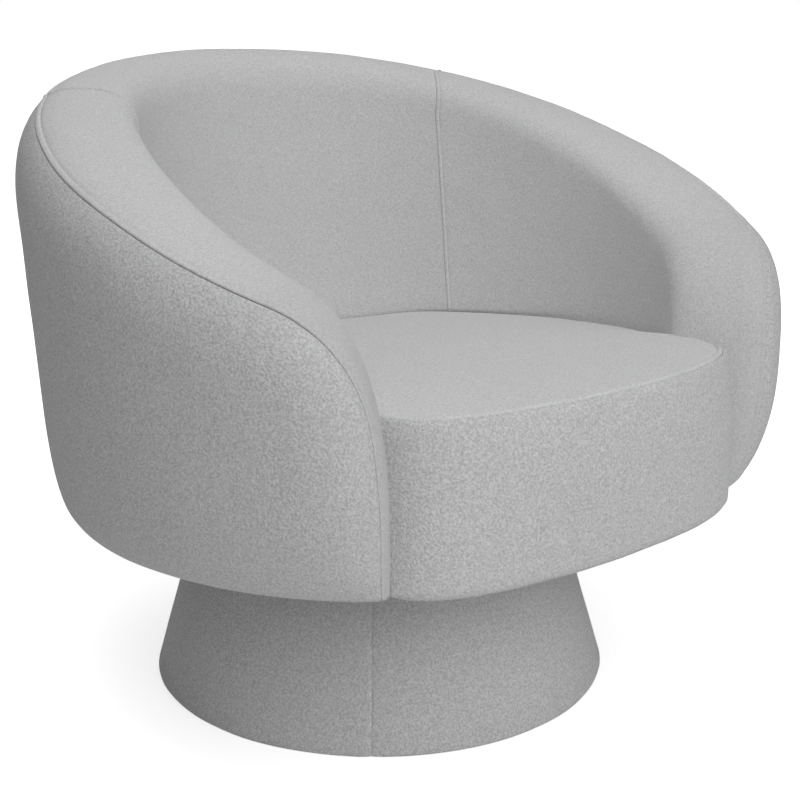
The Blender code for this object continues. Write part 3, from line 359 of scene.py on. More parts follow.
def wall_point(run, height, depth, drawn=1.0):
    """A point of the wall's right half: a distance along the plan, a height and a depth inward."""
    point, normal = plan_point(run / TUB_RADIUS)
    point = point - normal * (inset(run / TUB_RADIUS, height, drawn) + depth)
    return Vector((point.x, point.y, height))


def inner_point(run, height, depth):
    return wall_point(run, height, thickness(run) - depth, 0.0)


def drifted(run, drift):
    """A distance along the plan, moved forward most at the inner seam and not at all far from it."""
    if run < INNER_SEAM_RUN:
        return run + drift * smooth(run / INNER_SEAM_RUN)
    return run + drift * smooth(1 - (run - INNER_SEAM_RUN) / DRIFT_SPAN)


def evenly(start, end, count):
    """Numbers from a start to an end, in equal steps."""
    return [start + (end - start) * i / count for i in range(count + 1)]


def lengths_along(points):
    """How far along a line each of its points lies."""
    lengths = [0.0]
    for near, far in zip(points, points[1:]):
        lengths.append(lengths[-1] + (far - near).length)
    return lengths


def between(stops, value):
    """Where a value lies among rising stops: the stop after it, and its share of the way there."""
    index = min(max(bisect.bisect_left(stops, value), 1), len(stops) - 1)
    return index, (value - stops[index - 1]) / max(stops[index] - stops[index - 1], 1e-9)


def bezier(start, first, second, end, share):
    rest = 1 - share
    return rest**3 * start + 3 * rest**2 * share * first + 3 * rest * share**2 * second + share**3 * end


class Crest:
    """The line along the top of the wall, from the middle of the back to the foot of the arm's nose."""

    def __init__(self):
        back = Vector((0, CREST_HEIGHT))
        knee = Vector((ARM_RUN, ARM_HEIGHT))
        foot = Vector((NOSE_RUN, TUB_BOTTOM))
        fall = Vector((cos(ARM_SLOPE), -sin(ARM_SLOPE)))
        level = back + Vector((CREST_PULL, 0))
        above = foot + Vector((0, NOSE_FOOT_PULL))
        shares = evenly(0, 1, CREST_SAMPLES)
        rim = [bezier(back, level, knee - fall * ARM_PULL, knee, share) for share in shares]
        nose = [bezier(knee, knee + fall * NOSE_PULL, above, foot, share) for share in shares]
        self.points = rim + nose[1:]
        self.arcs = lengths_along(self.points)
        self.ways = [Vector((1, 0))]
        for before, after in zip(self.points, self.points[2:]):
            self.ways.append((after - before).normalized())
        self.ways.append(Vector((0, -1)))
        self.end = self.arcs[-1]

    def at(self, arc):
        """The place (run, height) and the direction at a distance along the line."""
        index, share = between(self.arcs, arc)
        place = self.points[index - 1].lerp(self.points[index], share)
        return place, self.ways[index - 1].lerp(self.ways[index], share).normalized()

    def first(self, test):
        """The first distance at which a test of place and direction holds."""
        return next(arc for arc, place, way in zip(self.arcs, self.points, self.ways) if test(place, way))


CREST = Crest()
SEAM_ARC = CREST.first(lambda place, way: place.x >= INNER_SEAM_RUN)
TURN_ARC = CREST.first(lambda place, way: way.y <= -sin(NOSE_STEEP))
DECK_ARC = CREST.first(lambda place, way: place.y - way.x * ARM_INNER_ROUND <= DECK_TOP)


def inner_round(run):
    share = min(run / (QUARTER * TUB_RADIUS), 1.0)
    return BACK_INNER_ROUND + (ARM_INNER_ROUND - BACK_INNER_ROUND) * share


def bell(distance, width):
    return exp(-((distance / width) ** 2))


def smooth(share):
    share = min(max(share, 0.0), 1.0)
    return share * share * (3 - 2 * share)


def seam_turn(arc):
    """Where the outer seam lies on the rounded edge: higher along the arm, lower down the nose."""
    drop = SEAM_DROP - SEAM_ARM_RISE * smooth((arc - ARM_RISE_FROM) / ARM_RISE_SPAN)
    drop += SEAM_NOSE_FALL * smooth((arc - NOSE_FALL_FROM) / NOSE_FALL_SPAN)
    return -acos((1 - drop / OUTER_ROUND) ** (ROUND_FULLNESS / 2))


def tightness(arc):
    """How firmly the outer seam is drawn: slacker round the nose."""
    return 1 - SEAM_SLACK * smooth((arc - SLACK_FROM) / SLACK_SPAN)


def section(crest, turn, sink=0.0):
    """Where the rounded edge stands, as (run, height, depth, drawn share), sunk straight into the wall."""
    point, way = crest
    share = CREST_SHARE if turn < 0 else 1 - CREST_SHARE
    height = OUTER_ROUND if turn < 0 else inner_round(point.x)
    across = sin(abs(turn)) ** (2 / ROUND_FULLNESS)
    rise = max(cos(turn), 0.0) ** (2 / ROUND_FULLNESS)
    steep = across ** (ROUND_FULLNESS - 1) / (share * thickness(point.x))
    level = rise ** (ROUND_FULLNESS - 1) / height
    size = hypot(steep, level)
    drop = height * (1 - rise) + sink * level / size
    run = drifted(point.x + way.y * drop, RIM_DRIFT * max(sin(turn), 0.0) ** 2)
    reach = share * across * thickness(run) - sink * steep / size
    middle = CREST_SHARE * thickness(run)
    rest = CREST_DRAWN_SHARE * (1 - across**2)
    if turn < 0:
        return run, point.y - way.x * drop, middle - reach, rest + across**2
    return run, point.y - way.x * drop, middle + reach, rest


# Sheets of cloth as grids of (place, unrolled place, distance from the nearest seam)

def spaced(length, count):
    """Distances from 0 to a length: close together at first, then evenly wide."""
    close = [step for step in FINE_STEPS if step < length / 2]
    rest = length - close[-1]
    return close + [close[-1] + rest * (i / count) ** ROW_SPREAD for i in range(1, count + 1)]


def edge_line(crest, low, high, count, sink_of):
    """A line over the rounded edge from one turn to another, with its distances from the low end."""
    turns = evenly(low, high, EDGE_SAMPLES)
    lengths = lengths_along([wall_point(*section(crest, turn)) for turn in turns])
    shoulder = section(crest, high)[:2]
    outward = Vector((-crest[1].y, crest[1].x))
    line = []
    for step in spaced(lengths[-1], count):
        index, share = between(lengths, step)
        turn = turns[index - 1] + (turns[index] - turns[index - 1]) * share
        flat = Vector(shoulder) + outward * (lengths[-1] - step)
        line.append((wall_point(*section(crest, turn, sink_of(step))), flat, step))
    return line


def patch(rim, columns):
    """Places (run, height) that fill the wall below a rim which runs forward and then down."""
    rim = [Vector(place) for place in rim]
    top, front = rim[: columns + 1], rim[columns:]
    start, corner, end = top[0], front[0], front[-1]
    below = Vector((start.x, end.y))
    grid = []
    for place in top:
        u = (place.x - start.x) / (corner.x - start.x)
        foot = below.lerp(end, u)
        line = []
        for edge in front:
            v = (corner.y - edge.y) / (corner.y - end.y)
            sides = start.lerp(below, v).lerp(edge, u) + place.lerp(foot, v)
            line.append(sides - start.lerp(corner, u).lerp(foot, v))
        grid.append(line)
    return grid


def mirrored(rows):
    """The same grid on the left, in the opposite order."""
    return [
        [(place * MIRROR, flat * MIRROR.xy, step) for place, flat, step in line] for line in reversed(rows)]


def whole(rows):
    """Both halves of a grid whose first line lies in the middle."""
    return mirrored(rows)[:-1] + rows


def uneven(place, step, cloth, seams, seed):
    """How far the padding and the gathers beside a seam push the cloth out at a place."""
    shift = Vector((seed, 0, 0))
    free = 1 - exp(-step / SEWN_DOWN)
    soft = noise.noise(place * BROAD_WAVES + shift) + SMALL_SHARE * noise.noise(place * SMALL_WAVES + shift)
    gather = noise.noise(place * GATHERS + shift) * exp(-step / GATHER_REACH)
    return free * (cloth.unevenness * soft + GATHER_PUFF * seams.pucker * gather)


def settings(context):
    return context.scene.chair_cloth, context.scene.chair_seams


def sewn(kind, grids, context, core, period=0.0):
    """A cover laid from grids: merged, turned out from a core, with soft unevenness and a thickness."""
    cloth, seams = settings(context)
    bm = bmesh.new()
    unrolled = bm.verts.layers.float_vector.new("flat")
    for rows in grids:
        made = bmesh.ops.create_grid(
            bm, x_segments=len(rows[0]) - 1, y_segments=len(rows) - 1, size=1)["verts"]
        for vert, (place, flat, step) in zip(made, (item for line in rows for item in line)):
            vert.co = place
            vert[unrolled] = (flat[0], flat[1], step)
    bmesh.ops.remove_doubles(bm, verts=bm.verts, dist=WELD)
    bmesh.ops.dissolve_degenerate(bm, dist=WELD, edges=bm.edges)
    bmesh.ops.recalc_face_normals(bm, faces=bm.faces)
    bm.normal_update()
    facing = 0.0
    for face in bm.faces:
        middle = face.calc_center_median()
        facing += face.normal.dot(middle - core(middle)) * face.calc_area()
    if facing <= 0:
        bmesh.ops.reverse_faces(bm, faces=bm.faces)
    bm.normal_update()
    for vert in bm.verts:
        vert.co += vert.normal * uneven(vert.co, vert[unrolled].z, cloth, seams, SEEDS[kind])
    uv = bm.loops.layers.uv.new("UVMap")
    for face in bm.faces:
        us = [loop.vert[unrolled].x for loop in face.loops]
        for loop, u in zip(face.loops, us):
            lift = period if period and max(us) - u > period / 2 else 0.0
            loop[uv].uv = (u + lift, loop.vert[unrolled].y)
    item = new_piece(f"{kind}_upholstery", bm)
    shell = item.modifiers.new("Cloth thickness", "SOLIDIFY")
    shell.thickness = cloth.thickness
    shell.offset = -1
    return item


def new_piece(name, bm):
    """An object at the origin from a finished bmesh, shaded smooth."""
    mesh = bpy.data.meshes.new(name)
    bm.to_mesh(mesh)
    bm.free()
    mesh.shade_smooth()
    item = bpy.data.objects.new(name, mesh)
    bpy.context.scene.collection.objects.link(item)
    return item


def dress(item, material, slot, body, *nodes):
    """Give a piece its finish, body and the frame nodes that it stands for."""
    item.data.materials.append(material)
    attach(item, body)
    if nodes:
        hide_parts(*nodes)


def seam_sink(step, seams):
    """How far plain cloth is drawn in at a distance from a seam."""
    return seams.groove * bell(step, seams.groove_width) + SHOULDER * exp(-step / SHOULDER_REACH)


def fell_sink(step, seams):
    """The same beside a felled seam: a folded band stands up, and its stitches draw the cloth in."""
    rise = 0.5 + 0.5 * tanh((step - FELL_START * seams.fell) / FELL_EDGE)
    fall = 0.5 - 0.5 * tanh((step - seams.fell) / FELL_EDGE)
    band = seams.fell_height * rise * fall
    dip = FELL_DIP * bell(step - seams.fell - FELL_DIP_PAST, FELL_DIP_WIDTH)
    return seams.groove * bell(step, FELL_GROOVE * seams.groove_width) - band + dip


def beside_sink(beside, seams, felled, pull):
    """The same beside an inner seam, drawn more or less firmly than the outer seam."""
    plain = fell_sink(beside, seams) if felled else seam_sink(beside, seams)
    return pull * plain + PULL_DEPTH * (pull - EVEN_PULL) * bell(beside, PULL_WIDTH)


# Materials

def plug(tree, socket, value):
    """A link, a number, a vector or a colour on a socket."""
    if isinstance(value, bpy.types.NodeSocket):
        tree.links.new(value, socket)
    elif socket.type == "RGBA":
        socket.default_value = (*value, 1)
    else:
        socket.default_value = value


def add(tree, kind, **inputs):
    """A shader node with values or links on the inputs that are named."""
    node = tree.nodes.new(f"ShaderNode{kind}")
    for label, value in inputs.items():
        plug(tree, node.inputs[label], value)
    return node


def compute(tree, kind, operation, *values):
    """The outputs of a maths or vector maths node on values or links."""
    node = add(tree, kind)
    node.operation = operation
    for socket, value in zip(node.inputs, values):
        plug(tree, socket, value)
    return node.outputs


def maths(tree, operation, *values):
    return compute(tree, "Math", operation, *values)[0]


def weighted(tree, first, share, second, rest):
    """The sum of two values, each times its share."""
    return maths(tree, "MULTIPLY_ADD", first, share, maths(tree, "MULTIPLY", second, rest))


def noise_node(tree, vector, scale, detail=2, roughness=0.5, stretch=None):
    """A noise texture on a vector, stretched along one direction if asked."""
    if stretch:
        vector = add(tree, "Mapping", Vector=vector, Scale=stretch).outputs["Vector"]
    return add(
        tree, "TexNoise", Vector=vector, Scale=scale, Detail=detail, Roughness=roughness).outputs["Fac"]


def mix_colour(tree, mask, first, second):
    """A colour between two, by a mask."""
    node = add(tree, "Mix")
    node.data_type = "RGBA"
    plug(tree, node.inputs["Factor"], mask)
    plug(tree, node.inputs[6], first)
    plug(tree, node.inputs[7], second)
    return node.outputs[2]


def shaded(colour, shade):
    return tuple(channel * shade for channel in colour)


def new_group(name, inputs, outputs):
    """A shader group on a place and numbers: its tree, its input sockets and its output node."""
    tree = bpy.data.node_groups.new(name, "ShaderNodeTree")
    sockets = tree.interface
    sockets.new_socket("Place", in_out="INPUT", socket_type="NodeSocketVector")
    for label, value in inputs.items():
        sockets.new_socket(label, in_out="INPUT", socket_type="NodeSocketFloat").default_value = value
    for label in outputs:
        sockets.new_socket(label, in_out="OUTPUT", socket_type="NodeSocketFloat")
    return tree, tree.nodes.new("NodeGroupInput").outputs, tree.nodes.new("NodeGroupOutput")


def weave_group(name):
    """Plain weave of slightly uneven yarns: its relief, and how light each bit of yarn is."""
    tree, start, end = new_group(name, {"Pitch": 0.001}, ("Relief", "Heather"))
    place = start["Place"]
    per = maths(tree, "DIVIDE", pi, start["Pitch"])
    wobble = add(tree, "TexNoise", Vector=place, Scale=240, Detail=2).outputs["Color"]
    shifted = compute(tree, "VectorMath", "MULTIPLY_ADD", wobble, (YARN_WOBBLE,) * 3, place)["Vector"]
    parts = add(tree, "SeparateXYZ", Vector=shifted).outputs
    warp, weft = (maths(tree, "SINE", maths(tree, "MULTIPLY", parts[axis], per)) for axis in "XY")
    cross = maths(tree, "MULTIPLY", warp, weft)
    relief = weighted(tree, maths(tree, "ABSOLUTE", cross), 0.6, cross, 0.4)
    fuzz = noise_node(tree, place, 1500, 3, 0.7)
    plug(tree, end.inputs["Relief"], maths(tree, "MULTIPLY_ADD", fuzz, 0.9, relief))
    along = noise_node(tree, place, 700, 2, 0.6, (0.4, 1, 1))
    across = noise_node(tree, place, 700, 2, 0.6, (1, 0.4, 1))
    streak = maths(tree, "MULTIPLY", maths(tree, "ADD", along, across), 0.5)
    speck = maths(tree, "ADD", noise_node(tree, place, 900, 2, 0.6), streak)
    heather = add(tree, "Clamp", Value=maths(tree, "MULTIPLY_ADD", speck, 2.6, -2.1))
    plug(tree, end.inputs["Heather"], heather.outputs["Result"])
    return tree


def nap_group(name):
    """The pebbled grain of a brushed nap."""
    tree, start, end = new_group(name, {"Size": 0.002}, ("Relief",))
    scale = maths(tree, "DIVIDE", 1, start["Size"])
    plug(tree, end.inputs["Relief"], noise_node(tree, start["Place"], scale, 2, 0.55))
    return tree


def blotch_group(name):
    """Broad, faint changes over a surface, such as rubbed and brushed places."""
    tree, start, end = new_group(name, {}, ("Mask",))
    wide = noise_node(tree, start["Place"], 7, 3, 0.55)
    fine = noise_node(tree, start["Place"], 46, 3, 0.6)
    plug(tree, end.inputs["Mask"], weighted(tree, wide, 0.65, fine, 0.35))
    return tree


GROUPS = {"Heathered weave": weave_group, "Brushed nap": nap_group, "Broad changes": blotch_group}


class Finish:
    """A Principled material that is being put together."""

    def __init__(self, name, inputs):
        self.material = bpy.data.materials.new(name)
        self.material.use_nodes = True
        self.tree = self.material.node_tree
        self.shader = self.tree.nodes["Principled BSDF"]
        self.set(inputs)
        place = add(self.tree, "TexCoord").outputs
        self.place, self.unrolled = place["Object"], place["UV"]
        self.normal = None

    def set(self, inputs):
        for label, value in inputs.items():
            plug(self.tree, self.shader.inputs[label], value)

    def group(self, name, place, **values):
        """The outputs of a shared shader group, made the first time that a finish asks for it."""
        node = add(self.tree, "Group")
        node.node_tree = bpy.data.node_groups.get(name) or GROUPS[name](name)
        for label, value in {"Place": place, **values}.items():
            plug(self.tree, node.inputs[label], value)
        return node.outputs

    def broad(self):
        return self.group("Broad changes", self.place)["Mask"]

    def colour(self, mask, first, second):
        self.set({"Base Color": mix_colour(self.tree, mask, first, second)})

    def bump(self, height, distance):
        """Relief on top of the reliefs so far."""
        node = add(self.tree, "Bump", Height=height, Distance=distance, Strength=1)
        if self.normal:
            plug(self.tree, node.inputs["Normal"], self.normal)
        self.normal = node.outputs["Normal"]
        self.set({"Normal": self.normal})


def cloth_finish(name, cloth, grain, shade, nose):
    """Light grey heathered upholstery cloth with a soft nap and painted shade: over the whole copy by its
    shade, in the hollows of its grain, and round an arm's nose if asked.
    """
    finish = Finish(name, {
        "Roughness": 0.92, "Specular IOR Level": 0.2, "Sheen Weight": 0.12, "Sheen Roughness": 0.6})
    tree, broad = finish.tree, finish.broad()
    woven = finish.group("Heathered weave", finish.unrolled, Pitch=cloth.yarn)
    brushed = finish.group("Brushed nap", finish.place, Size=cloth.grain)["Relief"]
    heather = weighted(tree, woven["Heather"], 0.5, broad, 0.2)
    # Painted shade: the colour darkens in the hollows of the grain, the same noise that bumps the cloth.
    painted_hollow_shade = maths(tree, "MULTIPLY_ADD", brushed, HOLLOW_PAINTED_SHADE * grain, -HOLLOW_PAINTED_SHADE / 2 * grain)
    mask = maths(tree, "ADD", maths(tree, "ADD", heather, painted_hollow_shade), 0.15)
    # Painted shade: the whole copy of the cloth is darkened by its shade.
    dark, light = shaded(cloth.dark, shade), shaded(cloth.light, shade)
    # Painted shade: the colour darkens towards the front of an arm's nose.
    if nose < 1:
        forward = add(tree, "MapRange", Value=add(tree, "SeparateXYZ", Vector=finish.place).outputs["Y"])
        forward.interpolation_type = "SMOOTHSTEP"
        forward.inputs["From Min"].default_value = NOSE_SHADE_FROM_Y
        forward.inputs["From Max"].default_value = NOSE_SHADE_FULL_Y
        plain = mix_colour(tree, mask, dark, light)
        darker = mix_colour(tree, mask, shaded(dark, nose), shaded(light, nose))
        finish.colour(forward.outputs["Result"], plain, darker)
    else:
        finish.colour(mask, dark, light)
    finish.bump(broad, 0.0035)
    finish.bump(brushed, cloth.grain_depth * grain)
    finish.bump(woven["Relief"], cloth.depth)
    return finish.material


def upholstery(cloth, nap="raised"):
    """The cloth of the covers, made once for each state of its nap: copies with their own grain and their
    own painted shade.
    """
    name = f"{nap}_cloth_painted_shade"
    grain = cloth.rubbed if nap in ("rubbed", "turned") else 1.0
    # Painted shade: the seat's front and the frame (raised) and the outer panel (brushed) are darker
    # copies; the arms' inner covers (turned) darken round their noses.
    shade = {"raised": cloth.shade, "brushed": cloth.outer}.get(nap, 1.0)
    nose = cloth.nose if nap == "turned" else 1.0
    return bpy.data.materials.get(name) or cloth_finish(name, cloth, grain, shade, nose)


def thread_finish(cloth):
    """Twisted sewing thread in the cloth's colour."""
    finish = Finish("sewing_thread", {"Roughness": 0.6})
    twist = noise_node(finish.tree, finish.place, 2500)
    finish.colour(twist, shaded(cloth.dark, 0.9), shaded(cloth.light, 0.95))
    finish.bump(twist, 0.0001)
    return finish.material


def foam_finish():
    """Open-cell foam, a little yellowed."""
    finish = Finish("open_cell_foam", {"Roughness": 0.95})
    cells = add(finish.tree, "TexVoronoi", Vector=finish.place, Scale=700)
    finish.colour(finish.broad(), (0.80, 0.72, 0.48), (0.90, 0.86, 0.70))
    finish.bump(cells.outputs["Distance"], 0.0006)
    return finish.material


def plywood_finish():
    """Birch plywood with long grain and faint layers."""
    finish = Finish("birch_plywood", {"Roughness": 0.62})
    tree = finish.tree
    grain = noise_node(tree, finish.place, 60, 5, 0.6, (0.12, 2.2, 2.2))
    layers = add(tree, "TexWave", Vector=finish.place, Scale=110, Distortion=0.8)
    layers.bands_direction = "Z"
    streak = weighted(tree, grain, 0.6, layers.outputs["Fac"], 0.25)
    mask = maths(tree, "MULTIPLY_ADD", finish.broad(), 0.25, streak)
    finish.colour(mask, (0.52, 0.36, 0.20), (0.78, 0.62, 0.42))
    finish.bump(grain, 0.0004)
    return finish.material


def steel_finish():
    """Zinc-plated steel with rolling marks."""
    finish = Finish("zinc_plated_steel", {"Metallic": 1})
    tree = finish.tree
    rolled = noise_node(tree, finish.place, 300, 3, 0.6, (0.05, 1, 1))
    mask = weighted(tree, finish.broad(), 0.5, rolled, 0.5)
    finish.colour(mask, (0.38, 0.39, 0.41), (0.52, 0.53, 0.55))
    finish.set({"Roughness": maths(tree, "MULTIPLY_ADD", rolled, 0.2, 0.26)})
    finish.bump(rolled, 0.00008)
    return finish.material


def dark_finish(name, roughness, scale, relief, first, second):
    """A black material with a fine grain: moulded nylon or felted lining."""
    finish = Finish(name, {"Roughness": roughness})
    grain = noise_node(finish.tree, finish.place, scale, 4, 0.65)
    finish.colour(grain, first, second)
    finish.bump(grain, relief)
    return finish.material


def floor_finish(studio):
    """Plain pale floor that lifts to the white of the air behind it."""
    finish = Finish("studio_floor", {
        "Roughness": 0.9, "Specular IOR Level": 0.1,
        "Base Color": studio.floor, "Emission Color": (1, 1, 1)})
    tree = finish.tree
    away = compute(tree, "VectorMath", "LENGTH", finish.place)["Value"]
    spread = maths(tree, "MULTIPLY_ADD", away, (1 - studio.lift) / LIFT_REACH, studio.lift)
    seen = add(tree, "LightPath").outputs["Is Camera Ray"]
    lift = maths(tree, "MULTIPLY", seen, maths(tree, "MINIMUM", spread, 1))
    finish.set({"Emission Strength": lift})
    return finish.material


# Pieces

def outer_grids(seams):
    """The outer panel: over the rounded edge from the seam to its shoulder, down the wall, and a hem."""
    drop = CREST.end - TURN_ARC
    arcs = evenly(0, TURN_ARC, RIM_ROWS)[:-1]
    arcs += [TURN_ARC + drop * (1 - (1 - i / NOSE_ROWS) ** NOSE_SPREAD) for i in range(NOSE_ROWS + 1)]
    edge, rim = [], []
    for arc in arcs:
        crest, tight = CREST.at(arc), tightness(arc)

        def sink(step):
            return tight * seam_sink(step, seams)

        edge.append(edge_line(crest, seam_turn(arc), -QUARTER, OUTER_EDGE_ROWS, sink))
        rim.append(section(crest, -QUARTER)[:2])
    wall, hem = [], []
    for line in patch(rim, RIM_ROWS):
        wall.append([(wall_point(*place, 0), place, 1.0) for place in line])
        place, flat, _ = wall[-1][-1]
        inside = wall_point(*flat, HEM) + Vector((0, 0, HEM_LIFT))
        hem.append([(place, flat, 1.0), (inside, flat - Vector((0, HEM)), 1.0)])
    return edge, wall, hem


def inner_edge(arc, depth, seams):
    """An inner panel's line over the rounded edge, from the outer seam to the inner shoulder."""
    tight, beside = tightness(arc), abs(arc - SEAM_ARC)

    def sink(step):
        return tight * fell_sink(step, seams) + depth * (1 - exp(-step / SEAMS_MEET))

    line = edge_line(CREST.at(arc), seam_turn(arc), QUARTER, INNER_EDGE_ROWS, sink)
    return [(place, flat, min(step, beside)) for place, flat, step in line]


def arm_grids(seams, pull):
    """An arm's inner panel: over the rim, down the inner side and round the nose."""
    top = [SEAM_ARC + step for step in FINE_STEPS]
    top += evenly(top[-1], TURN_ARC, ARM_ROWS)[1:]
    around = top + evenly(TURN_ARC, DECK_ARC, WALL_ROWS)[1:]
    arcs = around + evenly(DECK_ARC, CREST.end, FOOT_ROWS)[1:]
    depths = [beside_sink(arc - SEAM_ARC, seams, True, pull) for arc in arcs]
    edge = [inner_edge(arc, depth, seams) for arc, depth in zip(arcs, depths)]
    rim = [section(CREST.at(arc), QUARTER)[:2] for arc in around]
    wall = []
    for arc, depth, line in zip(top, depths, patch(rim, len(top) - 1)):
        beside = arc - SEAM_ARC
        plain = smooth(beside / (TURN_ARC - SEAM_ARC) / LEDGE_SHARE)
        ledge = seat_ledge(line[-1][0])
        high, low = line[0][1], line[-1][1]
        row = []
        for index, near in enumerate(ledge_rows([height for _, height in line], ledge)):
            spot = near + (index - near) * plain
            before = min(int(spot), len(line) - 2)
            run, height = line[before].lerp(line[before + 1], spot - before)
            tucked = depth + (1 - plain) * ledge_sink(height, ledge, seams)
            run = drifted(run, FOOT_DRIFT * (high - height) / (high - low))
            row.append((inner_point(run, height, tucked), Vector((run, height)), beside))
        wall.append(row)
    return edge, wall


def back_grids(seams, pull):
    """The right half of the back's inner panel, out to an inner seam."""
    arcs = evenly(0, SEAM_ARC - FINE_STEPS[-1], WALL_ROWS)
    arcs += [SEAM_ARC - step for step in reversed(FINE_STEPS[:-1])]
    edge, wall = [], []
    for arc in arcs:
        beside = SEAM_ARC - arc
        depth = beside_sink(beside, seams, False, pull)
        edge.append(inner_edge(arc, depth, seams))
        run, height = section(CREST.at(arc), QUARTER)[:2]
        ledge = seat_ledge(run)
        row = []
        for spot in ledge_rows(evenly(height, DECK_TOP, WALL_ROWS), ledge):
            level = height + (DECK_TOP - height) * spot / WALL_ROWS
            along = drifted(run, FOOT_DRIFT * spot / WALL_ROWS)
            place = inner_point(along, level, depth + ledge_sink(level, ledge, seams))
            row.append((place, Vector((along, level)), beside))
        wall.append(row)
    return edge, wall


def ledge_rows(heights, ledge):
    """Stops along a line down the wall, close together where the seat meets it."""
    stops = []
    for level in (ledge + LEDGE_ABOVE, ledge - LEDGE_BELOW):
        below = next((i for i, height in enumerate(heights) if height <= level), len(heights) - 1)
        below = max(below, 1)
        above = heights[below - 1]
        stops.append(below - 1 + (above - level) / (above - heights[below]))
    near, far = stops
    above, beside, below = LEDGE_ROWS
    rows = evenly(0, near, above) + evenly(near, far, beside)[1:]
    return rows + evenly(far, len(heights) - 1, below)[1:]


def ledge_sink(level, ledge, seams):
    """How far the wall tucks in beside the seat."""
    return seams.crevice * bell(level - ledge + CREVICE_DROP, CREVICE_WIDTH)


def seat_dip(run):
    """How much lower the seat lies towards the middle of the back."""
    return SEAT_DIP * smooth((SEAT_DIP_FROM - run / TUB_RADIUS) / SEAT_DIP_SPAN)


def seat_ledge(run):
    """The height at which the seat meets the wall."""
    return seat_level(inner_point(run, SEAT_BACK_HEIGHT, SEAT_BITE).y) + LEDGE_LIFT - seat_dip(run)


def seat_level(y):
    share = (SEAT_BACK_Y - y) / (SEAT_BACK_Y - SEAT_FRONT_Y)
    return SEAT_BACK_HEIGHT + (SEAT_FRONT_HEIGHT - SEAT_BACK_HEIGHT) * min(max(share, 0.0), 1.0) ** SEAT_SAG


def seam_level(u):
    return seat_level(SEAT_FRONT_Y + SEAT_FRONT_BOW * u**2 + SEAT_CORNER_BOW * u**4)


def seat_front(u, level):
    """The seat's front face, at a share of its half width and a height."""
    fall = (seam_level(u) - level) / (seam_level(u) - TUB_BOTTOM)
    bow = SEAT_FRONT_BOW * (1 - fall) + SEAT_FOOT_BOW * fall
    y = SEAT_FRONT_Y + bow * u**2 + SEAT_CORNER_BOW * u**4
    y -= SEAT_BELLY * sin(pi * min(max(fall, 0.0), 1.0) ** SEAT_BELLY_RISE)
    return Vector(((SEAT_FRONT_HALF + SEAT_FRONT_SPREAD * fall) * u, y, level))


def front_crease(u):
    """How far the front is turned back in where it meets the arms."""
    return CREASE_DEPTH * exp(-abs(1 - abs(u)) * SEAT_FRONT_HALF / CREASE_WIDTH)


def edge_round(distance, radius):
    """How far a rounded edge has fallen at a distance in from it."""
    rest = max(radius - distance, 0.0)
    return radius - sqrt(radius * radius - rest * rest)


def top_place(point, distance):
    """A place on the seat's plain top, at a distance in from a point of its edge towards the middle."""
    ray = point.xy - SEAT_CENTRE
    share = max(1 - distance / ray.length, 0.0)
    place = SEAT_CENTRE + ray * share
    return Vector((place.x, place.y, seat_level(place.y) + SEAT_CROWN * (1 - share**2)))


def turned_in(place, step, reach, u, seams):
    """The same near the front's seam: rounded, felled, and drawn back by the turned-in front."""
    fade = (1 - step / reach) ** CREASE_FADE
    crease = front_crease(u) * fade
    fallen = edge_round(step + seams.edge * HALF_ROUND, seams.edge) + fell_sink(step, seams)
    return place + Vector((0, crease, -fallen - CREASE_FALL * crease * (1 - fade)))


def seat_grid(seams):
    """The seat's top: lines from its edge in to its middle."""
    start = seams.edge * HALF_ROUND
    points = []
    for run in evenly(0, SEAT_SIDE_RUN, SEAT_SIDE_ROWS):
        level = seat_level(inner_point(run, SEAT_BACK_HEIGHT, SEAT_BITE).y)
        points.append((inner_point(run, level, SEAT_BITE), None, seat_dip(run)))
    for u in evenly(SEAT_REACH_SHARE, 0, SEAT_FRONT_ROWS):
        points.append((seat_front(u, seam_level(u)), u, 0.0))
    rows = []
    for point, u, dip in points:
        reach = (point.xy - SEAT_CENTRE).length - start
        line = []
        for step in spaced(reach, SEAT_COLUMNS):
            distance = step + start
            place = top_place(point, distance)
            if u is None:
                place.z -= dip * smooth(1 - distance / SEAT_DIP_REACH)
                place.z -= seams.tuck * bell(max(distance - TUCK_FROM, 0), TUCK_WIDTH)
                line.append((place, place.xy, max(distance, SEAT_LOOSE)))
            else:
                place = turned_in(place, step, reach, u, seams)
                line.append((place, place.xy, step))
        rows.append(line)
    return rows


def front_grid(seams):
    """The seat's front: lines down from its seam, turned under at the foot."""
    start = seams.edge * HALF_ROUND
    rows = []
    for u in evenly(0, SEAT_REACH_SHARE, FRONT_ROWS):
        line = []
        for step in spaced(seam_level(u) - TUB_BOTTOM - start, FRONT_COLUMNS):
            level = seam_level(u) - start - step
            inward = front_crease(u) + edge_round(step + start, seams.edge) + seam_sink(step, seams)
            inward += FOOT_TURN * exp(-(level - TUB_BOTTOM) / FOOT_TURN_REACH)
            place = seat_front(u, level) + Vector((0, inward, 0))
            line.append((place, Vector((place.x, level)), step))
        last = line[-1][0]
        line.append((last + Vector((0, HEM, HEM_LIFT)), Vector((last.x, last.z - HEM)), 1.0))
        rows.append(line)
    return rows


